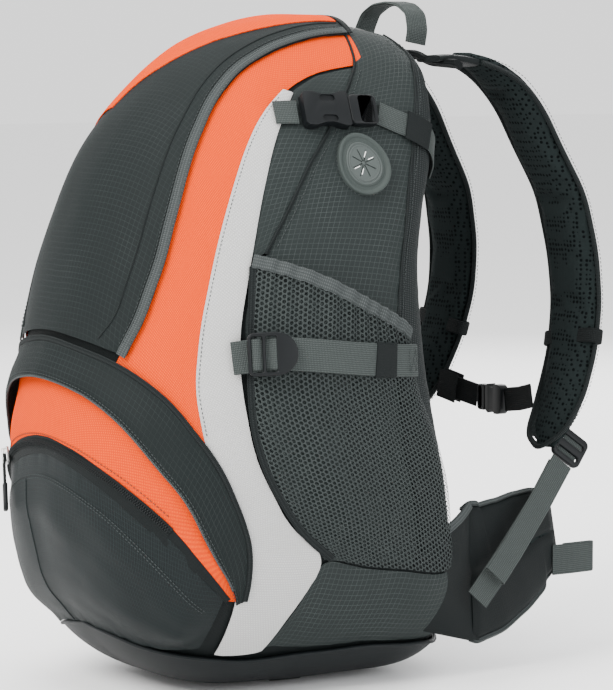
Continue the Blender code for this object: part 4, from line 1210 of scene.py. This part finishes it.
def swollen(obj, cap):
    """Puffs a pad with a cloth simulation, each point moving at most cap millimetres."""
    scene = bpy.context.scene
    bpy.context.view_layer.objects.active = obj
    mesh = obj.data
    remesh = obj.modifiers.new("voxels", "REMESH")
    remesh.mode = "VOXEL"
    remesh.voxel_size = VOXEL * MM
    deps = bpy.context.evaluated_depsgraph_get()
    even = bpy.data.meshes.new_from_object(obj.evaluated_get(deps))
    obj.modifiers.clear()
    obj.data = even
    bpy.data.meshes.remove(mesh)
    count = len(even.vertices)
    rest = np.zeros(count * 3)
    even.vertices.foreach_get("co", rest)
    cloth = obj.modifiers.new("cloth", "CLOTH")
    cloth.settings.use_pressure = True
    cloth.settings.uniform_pressure_force = PRESSURE
    cloth.settings.effector_weights.gravity = 0.0
    cloth.settings.tension_stiffness = 30
    cloth.settings.compression_stiffness = 30
    cloth.settings.bending_stiffness = 2.0
    cloth.settings.quality = 5
    cloth.collision_settings.use_collision = False
    for step in range(1, PUFF_FRAMES + 1):
        scene.frame_set(step)
    deps = bpy.context.evaluated_depsgraph_get()
    puffed = obj.evaluated_get(deps).to_mesh()
    now = np.zeros(count * 3)
    puffed.vertices.foreach_get("co", now)
    obj.evaluated_get(deps).to_mesh_clear()
    push = (now - rest).reshape(-1, 3)
    size = np.linalg.norm(push, axis=1, keepdims=True)
    push *= np.minimum(1, cap * MM / np.maximum(size, 1e-9))
    even.vertices.foreach_set("co", (rest.reshape(-1, 3) + push).ravel())
    even.update()
    obj.modifiers.clear()
    scene.frame_set(1)
    smooth = obj.modifiers.new("smooth", "SUBSURF")
    smooth.levels = 1
    smooth.render_levels = 1
    even.shade_smooth()


def back_face(runs, off):
    """Points on the back face in line with y from inside."""
    p = np.asarray(runs, float)
    start = p.copy()
    start[..., 1] = HUB[1]
    q = cast(start, np.array([0.0, 1.0, 0.0]))
    return q + outward(q) * np.asarray(off, float)[..., None]


def back_cushion(name, half, low_z, high_z, near, far, grooves, rows=110, cols=80):
    """A padded panel of air mesh on the back face, with grooves across it and down its middle."""
    z = np.linspace(high_z, low_z, rows)
    x = np.linspace(-half, half, cols)
    zz, xx = np.meshgrid(z, x, indexing="ij")
    square = 3.2
    half_z = (high_z - low_z) / 2
    mid_z = (high_z + low_z) / 2
    edge = (np.abs(xx / half) ** square + np.abs((zz - mid_z) / half_z) ** square) ** (1 / square)
    scale = np.maximum(np.maximum(np.abs(xx / half), np.abs((zz - mid_z) / half_z)), 1e-6)
    pull = np.where(edge > 0, scale / np.maximum(edge, 1e-6), 1)
    px, pz = xx * pull, mid_z + (zz - mid_z) * pull
    grid = np.stack([px, 0 * px, pz], -1)
    crown = (1 - np.clip(scale, 0, 1) ** 7) ** 0.5
    dip = np.zeros_like(px)
    for gz, wide in grooves:
        dip = np.maximum(dip, np.exp(-((pz - gz) / wide) ** 2))
    dip = np.maximum(dip, np.exp(-(px / 9.0) ** 2))
    lift = near + 1.2 + (far - near - 1.2) * crown * (1 - 0.62 * dip)
    lift = lift + 0.4 * ripple(px / 16, pz / 16, 4.0) * crown
    return slab(name, back_face(grid, lift), back_face(grid, np.full(px.shape, float(near))), "air")


pad = back_cushion("back_cushion", 88, 152, 452, 1.6, 11.5, [(390, 7), (325, 7), (260, 7), (205, 7)])
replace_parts(pad, "back_pad")
lumbar = back_cushion("lumbar_cushion", 76, 42, 146, 1.6, 14.5, [(96, 7)], 60, 70)
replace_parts(lumbar, "lumbar_pad")

PAD = [(70, 134, 490), (71, 150, 487), (73, 177, 472), (75, 196, 449), (77, 209, 423),
       (80, 233, 381), (84, 243, 332), (88, 244, 292), (93, 236, 253), (98, 220, 214),
       (104, 195, 178)]
yoke_run = [(-101, 115, 487), (-60, 115, 489), (-45, 115, 494), (0, 115, 495), (45, 115, 494),
            (60, 115, 489), (101, 115, 487)]
yoke = ribbon("yoke_tape", along(yoke_run, 60), (0, 0.6, 0.8), 11, 5.6, "dark_web")
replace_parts(yoke, "yoke")


def lens(count, power):
    """A pad's section, one unit wide and deep, crowned on both faces."""
    a = np.arange(count) * 2 * np.pi / count
    x = np.sign(np.sin(a)) * np.abs(np.sin(a)) ** 0.8 / 2
    y = np.sign(np.cos(a)) * np.abs(np.cos(a)) ** power / 2
    return np.stack([x, y], -1)


def pad_path(points, count, side):
    """A strap's path, its directions and the way its outer face looks."""
    run = along(on(points, side), count)
    way = np.gradient(run, axis=0)
    face = np.cross(way, np.array([side, 0.0, 0.0]))
    if face[0, 2] < 0:
        face = face * np.sign(face[:1, 2])
    return run, way, face


def shoulder_strap(side, tag):
    """A padded strap with its facing, binding, daisy webbing and keeper."""
    body = "strap_" + tag
    run, way, face = pad_path(PAD, 70, side)
    at = np.linspace(0, 23, 70)
    widths = np.interp(at, [0, 1, 3, 12, 20, 22, 23], [44, 52, 64, 66, 60, 48, 30])
    thick = np.interp(at, [0, 2, 20, 23], [6, 13, 13, 6])
    v, f, uv = sweep_mesh(run, face, lens(36, 0.62), np.stack([widths - 3, thick * 0.86], -1))
    pad = shape("shoulder_cushion_" + tag, v, f, "air", body, uv, 80)
    swollen(pad, 5.0)
    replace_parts(pad, "shoulder_pad_" + tag)
    _, across, out = across_frames(run, face)
    # cloth facing on the outer side, away from the shoulder
    x = np.linspace(-1, 1, 25)
    cap = np.abs(1 - np.abs(x) ** 2.4) ** 0.42
    top = run[:, None] + across[:, None] * (x * 0.47)[None, :, None] * widths[:, None, None] + out[
        :, None] * (cap[None] * (thick * 0.5 + 0.4)[:, None])[..., None]
    low = top - out[:, None] * 1.2
    slab("shoulder_facing_" + tag, top[2:-2], low[2:-2], "dark", body)
    rim_l = run - across * (widths * 0.487)[:, None]
    rim_r = run + across * (widths * 0.487)[:, None]
    tip = run[-1] + unit(way[-1]) * 3.0
    border = along(np.concatenate([rim_l[2:-2], [tip], rim_r[2:-2][::-1]]), 220, reach=4)
    border_out = np.concatenate([out[2:-2], out[-1:], out[2:-2][::-1]])
    border_out = unit(at_run(np.linspace(0, 1, 220), np.linspace(0, 1, len(border_out)), border_out))
    v, f, uv = sweep_mesh(border, border_out, tape_section(5.0, 4.0))
    shape("shoulder_binding_" + tag, v, f, "dark_hem", body, uv)
    for k, sign in enumerate((-1, 1)):
        line = run + across * (widths * 0.43)[:, None] * sign + out * (thick * 0.36 + 1.6)[:, None]
        stitches("shoulder_stitch_%d_%s" % (k, tag), line[3:-3], out[3:-3], body=body)
    # ladder of daisy webbing down the outer face
    spine = run[4:66] + out[4:66] * (thick[4:66] / 2 + 1.5)[:, None]
    ribbon("shoulder_web_" + tag, spine, out[4:66], 20, 1.4, "dark_web", body)
    for k, index in enumerate((10, 24, 38, 62)):
        p = run[index] + out[index] * (thick[index] / 2 + 2.5)
        box_stitch("shoulder_bar_%d_%s" % (k, tag), p, (across[index], unit(way[index]), out[index]), 15, 7,
                   0.1, body)
    # band round the pad
    band_at = 51
    c = run[band_at]
    a = np.arange(48) * 2 * np.pi / 48
    loop = np.stack([np.sign(np.sin(a)) * np.abs(np.sin(a)) ** 0.45 * (widths[band_at] / 2 + 1.4),
                     np.sign(np.cos(a)) * np.abs(np.cos(a)) ** 0.7 * (thick[band_at] / 2 + 1.6)], -1)
    pts = c + across[band_at] * loop[:, :1] + out[band_at] * loop[:, 1:]
    v, f, uv = sweep_mesh(pts, unit(pts - c), tape_section(12, 1.6), None, True)
    keeper = shape("shoulder_keeper_" + tag, v, f, "dark_web", body, uv)
    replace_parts(keeper, "keeper_band_" + tag)
    root = on([(66, 110, 491), (68, 122, 491.5), (70, 134, 490), (70.6, 143, 488)], side)
    v, f, uv = sweep_mesh(along(root, 20), face[0], lens(36, 0.5),
                          np.stack([np.full(20, 43.0), np.linspace(5.6, 7.5, 20)], -1))
    shape("shoulder_root_" + tag, v, f, "plain", body, uv, 80)


def strap_webbing(side, tag):
    """The webbing below the pad, with its ladder lock and folded end."""
    body = "strap_" + tag
    outer = np.array([0.86 * side, 0.1, 0.45])
    lower_run = on([(142, 106, 66), (135, 132, 88), (122, 178, 130), (114.5, 206, 162)], side)
    lower = along(lower_run, 50)
    web = ribbon("strap_webbing_" + tag, lower, outer, 20, 1.5, "web", body)
    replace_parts(web, "strap_web_" + tag)
    tail = along(on([(118.5, 207, 166), (127, 180, 138), (139, 142, 102), (146, 120, 84)], side), 50)
    end = ribbon("strap_end_" + tag, tail, outer, 20, 1.5, "web", body)
    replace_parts(end, "strap_tail_" + tag)
    v, f, uv = sweep_mesh(tail[-7:], outer, tape_section(20.6, 3.2))
    shape("strap_end_fold_" + tag, v, f, "web", body, uv)
    lock_at = np.array([114.0 * side, 218, 176])
    coarse = along(lower_run, 9)
    lax = basis(coarse[-1] - coarse[-3], outer)
    bars = [(moved(rounded(4.4, 21, 1.6), v), -6, 6) for v in (-6, 5)]
    lock = plate("strap_ladder_" + tag, rounded(26, 28, 5), 5.0, lock_at, lax, "plastic",
                 "strap_adjuster_" + tag, 1.3, bars)
    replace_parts(lock, "strap_lock_" + tag)
    through = lock_at + lax[0] * np.linspace(-12, 11, 30)[:, None] + lax[2] * (
        0.9 * np.cos(np.linspace(0.2, 4.6, 30) * 2.0))[:, None]
    ribbon("strap_wrap_" + tag, through, lax[2], 19, 1.3, "web", "strap_adjuster_" + tag)


def hip_wing(side, tag):
    """A padded hip wing, the cover at its root and the webbing loop at its tip."""
    hip = "hip_" + tag
    line = along(on([(117, 112, 82), (115, 135, 84), (111, 160, 92), (104, 190, 104), (99, 212, 108)],
                    side), 60)
    at = np.linspace(0, 13, 60)
    wide = np.interp(at, [0, 1, 5, 9, 12, 13], [108, 116, 104, 90, 70, 44])
    deep = np.interp(at, [0, 1, 12, 13], [6, 11, 11, 5])
    wing_out = np.array([side, 0.0, 0.0])
    v, f, uv = sweep_mesh(line, wing_out, lens(44, 0.7), np.stack([wide - 5, deep * 0.5], -1))
    wing = shape("hip_cushion_" + tag, v, f, "air", hip, uv, 80)
    swollen(wing, 2.0)
    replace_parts(wing, "hip_wing_" + tag)
    _, up, out = across_frames(line, wing_out)
    x = np.linspace(-1, 1, 31)
    cap = np.abs(1 - np.abs(x) ** 2.6) ** 0.4
    channel = 1 - 0.35 * np.exp(-(x / 0.07) ** 2)
    top = line[:, None] + up[:, None] * (x * 0.475)[None, :, None] * wide[:, None, None] + out[
        :, None] * ((cap * channel)[None] * (deep * 0.5 + 1.0)[:, None])[..., None]
    slab("hip_facing_" + tag, top[1:-1], (top - out[:, None] * 2.0)[1:-1], "plain", hip)
    levels = np.linspace(-0.5, 0.5, 40)
    seat = np.stack([np.full(40, 124.0 * side), np.full(40, 70.0), 84 + levels * 104], -1)
    on_skin = snap(seat, 0.6)
    meet = line[5] + up[5] * (levels * (wide[5] - 1))[:, None] + out[5] * 1.5
    meet = meet[::-1] if (meet[-1, 2] < meet[0, 2]) else meet
    t = np.linspace(0, 1, 16)[None, :, None]
    bow = np.array([side * 3.0, 0, 0]) * np.sin(np.pi * t)
    cover = on_skin[:, None] * (1 - t) + meet[:, None] * t + bow
    # this cover rides on no body; it keeps a fixed outward bow between the skin and the wing
    for piece in (slab("hip_root_" + tag, cover, cover + [-4.5 * side, 0, 0], "plain", None),
                  ribbon("hip_root_hem_" + tag, cover[-1] + [0, 0, -2.0], (side, 0, 0.2), 7, 1.6, "hem",
                         None)):
        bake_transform(piece)
    half_up = up * (wide * 0.487)[:, None]
    rims = np.concatenate([line + half_up, (line - half_up)[::-1]])
    v, f, uv = sweep_mesh(along(rims, 150, reach=5), wing_out, tape_section(4.6, 4.2))
    shape("hip_binding_" + tag, v, f, "hem", hip, uv)
    fold = on([(106.7, 206, 84), (107.1, 228, 84), (106.4, 246, 84), (104.8, 248.5, 84), (103, 246, 84),
               (103.2, 228, 84), (103.2, 219, 84)], side)
    faces = np.array([[side, 0, 0.0], [side, 0, 0], [side, 0.6, 0], [0, 1, 0], [-side, 0.6, 0],
                      [-side, 0, 0], [-side, 0, 0]])
    loop = ribbon("hip_webbing_" + tag, np.array(fold, float) + [1.6 * side, 0, 0], faces, 25, 1.3, "web",
                  hip)
    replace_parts(loop, "hip_loop_" + tag)


for hand, word in SIDES:
    shoulder_strap(hand, word)
    strap_webbing(hand, word)
    hip_wing(hand, word)


def sternum_strap():
    """Both halves of the chest strap with the buckle between them."""
    right_run = along([(63.5, 217, 214), (40, 222, 209), (14.4, 226.6, 205.5)], 40)
    piece = ribbon("chest_strap_right", right_run, (0, 1, 0), 20, 1.5, "dark_web", "strap_right")
    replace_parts(piece, "sternum_web_right")
    left_run = along([(-24.4, 226, 205.5), (-36, 223, 208), (-46.5, 221, 210)], 30)
    piece = ribbon("chest_strap_left", left_run, (0, 1, 0), 20, 1.5, "dark_web", "sternum_left_half")
    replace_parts(piece, "sternum_web_left")
    sleeve_run = along([(-44.5, 221.4, 209.4), (-54, 219.6, 211.6), (-64, 217, 214)], 12)
    sleeve_parts = []
    for lift in (2.9, -3.3):
        layer = sleeve_run + np.array([0, lift, 0])
        sleeve_parts.append(sweep_mesh(layer, (0, 1, 0), tape_section(25, 1.0)))
    v, f, uv = joined(sleeve_parts)
    shape("chest_sleeve_left", v, f, "dark_web", "strap_left", uv)
    st = basis(np.array([-1.0, 0, 0]), np.array([0, 1.0, 0]))
    socket = plate("chest_socket", rounded(22, 25, 5), 8, (1.5, 227, 205), st, "plastic", "strap_right", 1.5,
                   [(moved(rounded(18, 17, 2), 5), -2.2, 2.2), (moved(rounded(8, 6, 2.6), 3, 12.5), -6, 6),
                    (moved(rounded(8, 6, 2.6), 3, -12.5), -6, 6)])
    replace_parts(socket, "sternum_buckle_female")
    plug = plate("chest_plug", rounded(12, 22, 3.4), 7.2, (-16.0, 227, 205), st, "plastic",
                 "sternum_left_half", 1.3, [(moved(rounded(3.4, 17, 1.5), 1.6), -6, 6)])
    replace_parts(plug, "sternum_buckle_male")
    for v in (-5.6, 5.6):
        spot = np.array([-16.0, 227, 205]) - st[0] * 8 + st[1] * v
        plate("chest_prong_%d" % (v > 0), rounded(15, 4, 1.8), 3.2, spot, st, "plastic",
              "sternum_left_half", 0.7)


sternum_strap()

# grab handle
arch = [(-38, 117, 503), (-38, 119, 514), (-32, 121, 527), (-18, 122, 534), (0, 122.5, 536),
        (18, 122, 534), (32, 121, 527), (38, 119, 514), (38, 117, 503)]
arch_run = along(arch, 70)
handle = ribbon("carry_handle", arch_run, np.cross(np.gradient(arch_run, axis=0), (0, 1.0, 0)), 20, 2.6,
                "web", "handle")
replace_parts(handle, "grab_handle")

# zips: the track by the far edge of the flap, and both sliders with their pulls
ZIP_HUB = np.array([-112.82, 25.89, 359.51])
ZIP_AXIS = np.array([0.9566, 0.0556, -0.286])
zip_run = along(on(FLAP_EDGE, -1), 160, 0.02, 0.0)
zip_face = outward(snap(zip_run, soft=False))
zip_side = unit(np.cross(np.gradient(zip_run, axis=0), zip_face))
zip_side *= -np.sign(zip_side[:, :1])
zip_path = snap(zip_run + zip_side * 9.0, 3.0, False)
track = ribbon("main_zip_tape", zip_path, zip_face, 9.0, 0.9, "dark_hem")
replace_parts(track, "main_zip_track")
coil("main_zip_coil", zip_path + zip_face * 0.6, zip_face, 3.6)


def carriage(hub, axis, radius, toward, lean, lift):
    """Where a slider sits on its circle, and its axes, which lean out of the circle's plane."""
    spoke = np.asarray(toward, float) - hub
    spoke = unit(spoke - axis * (spoke @ axis))
    out = axis * lean + spoke * math.sqrt(1 - lean * lean)
    way = np.cross(spoke, axis)
    return hub + spoke * radius + out * lift, np.array([np.cross(way, out), way, out])


def slider(name, centre, axes, body):
    """A zip's metal slider with the bridge that its pull rides in."""
    outline = [(-5, -2), (5, -2), (5, 0.6), (1.6, 0.6), (1.6, 3.4), (-1.6, 3.4), (-1.6, 0.6), (-5, 0.6)]
    side_axes = [axes[0], axes[2], np.cross(axes[0], axes[2])]
    return plate(name, outline, 12, centre, side_axes, "metal", body, 0.5)


def pull_cord(name, eye, axis, way, long, body, look, end_look):
    """A cord loop through the slider's bridge, ending in a moulded grip."""
    a = np.asarray(axis, float)
    w = unit(way - a * (way @ a))
    out = np.cross(a, w)
    pts = [(-0.4, -0.5), (1.8, -1.0), (2.6, 3), (2.2, long * 0.45), (1.2, long * 0.62), (0, long * 0.66),
           (-1.2, long * 0.62), (-2.2, long * 0.45), (-2.6, 3), (-1.8, -1.0)]
    path = np.array([eye + a * x + w * y for x, y in pts])
    loop = along(np.concatenate([path, path[:1]]), 60, reach=8)
    cord = cordage(name + "_loop", loop[:-1], 1.05, look, body, True)
    grip = plate(name + "_grip", [(-3.2, long * 0.5), (3.2, long * 0.5), (4.2, long - 5), (3.0, long),
                                  (-3.0, long), (-4.2, long - 5)], 3.6, eye, [a, w, out], end_look, body, 1.3)
    return cord, grip


centre, axes = carriage(ZIP_HUB, ZIP_AXIS, 150.9, (-69.6, 27, 504), -0.845, 3.1)
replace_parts(slider("main_slider_metal", centre, axes, "main_slider"), "main_zip_slider")
rear_way = axes[1] * math.copysign(1, axes[1][1])
cord, grip = pull_cord("main_pull", centre + axes[2] * 1.85, axes[0], rear_way * 0.86 + axes[2] * 0.50, 34,
                       "main_pull", "web_cord", "rubber")
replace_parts(cord, "main_zip_pull")
angle = math.radians(-34)
spot = POCKET_HUB + POCKET_RADIUS * (math.sin(angle) * np.array([1.0, 0, 0]) + math.cos(angle) * top_way)
pocket_out = outward(snap(spot[None], soft=False))[0]
pocket_down = POCKET_HUB - spot
pocket_down = unit(pocket_down - pocket_out * (pocket_down @ pocket_out))
pocket_axes = np.array([np.cross(pocket_down, pocket_out), pocket_down, pocket_out])
pocket_centre = snap(spot[None], [12.2], False)[0]
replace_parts(slider("pocket_slider_metal", pocket_centre, pocket_axes, "pocket_slider"), "pocket_zip_slider")
cord, grip = pull_cord("pocket_pull", pocket_centre + pocket_out * 1.85, pocket_axes[0],
                       pocket_down + pocket_out * 0.06, 46, "pocket_pull", "web_cord", "plastic")
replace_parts(cord, "pocket_zip_pull")

# what stays hidden inside keeps its CAD shape
for name, look in (("frame_sheet", "plastic"), ("hydration_sleeve", "satin")):
    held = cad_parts[name]
    held.data.materials.clear()
    held.data.materials.append(M[look])


# camera, light and floor ----------------------------------------------------------------------
AIM = np.array([-0.0039, 0.0398, 0.2597])
TURN_DEG, RAISE_DEG, AWAY = 57.0, 5.5, 2.635
az, el = math.radians(TURN_DEG), math.radians(RAISE_DEG)
back_way = np.array([math.sin(az) * math.cos(el), -math.cos(az) * math.cos(el), math.sin(el)])
camera = bpy.data.cameras.new("camera")
camera.lens = 169.6
camera.sensor_width = 36.0
camera.clip_start = 0.05
camera_object = bpy.data.objects.new("camera", camera)
camera_object.location = AIM + back_way * AWAY
camera_object.rotation_euler = Vector(-back_way).to_track_quat("-Z", "Y").to_euler()
bpy.context.scene.collection.objects.link(camera_object)
bpy.context.scene.camera = camera_object


def lamp(name, place, toward, size, power, colour=(1, 1, 1)):
    """A rectangular lamp."""
    data = bpy.data.lights.new(name, "AREA")
    data.shape = "RECTANGLE"
    data.size, data.size_y = size
    data.energy = power
    data.color = colour
    obj = bpy.data.objects.new(name, data)
    obj.location = place
    obj.rotation_euler = (Vector(toward) - Vector(place)).to_track_quat("-Z", "Y").to_euler()
    bpy.context.scene.collection.objects.link(obj)


lamp("key", (0.6, -2.1, 2.0), (0, 0, 0.28), (1.5, 1.5), 135, (1.0, 0.985, 0.96))
lamp("fill", (2.3, 0.6, 0.9), (0, 0, 0.26), (1.8, 1.6), 38, (0.96, 0.98, 1.0))
lamp("top", (-0.2, 0.1, 2.4), (0, 0, 0.3), (2.0, 2.0), 52)
lamp("rear", (-1.6, 1.8, 1.3), (0, 0, 0.3), (1.4, 1.4), 38)
world = bpy.data.worlds.new("studio")
bpy.context.scene.world = world
world.use_nodes = True
world.node_tree.nodes["Background"].inputs[0].default_value = (1.0, 1.0, 1.0, 1.0)
world.node_tree.nodes["Background"].inputs[1].default_value = 1.5
floor_mesh = bpy.data.meshes.new("floor")
floor_bm = bmesh.new()
bmesh.ops.create_grid(floor_bm, x_segments=2, y_segments=2, size=14.0)
floor_bm.to_mesh(floor_mesh)
floor_bm.free()
floor = bpy.data.objects.new("floor", floor_mesh)
floor.location.z = -0.0006
bpy.context.scene.collection.objects.link(floor)
white = bpy.data.materials.new("floor_white")
white.use_nodes = True
white.node_tree.nodes["Principled BSDF"].inputs["Base Color"].default_value = (0.93, 0.93, 0.93, 1)
white.node_tree.nodes["Principled BSDF"].inputs["Roughness"].default_value = 0.9
floor_mesh.materials.append(white)

bpy.context.view_layer.update()
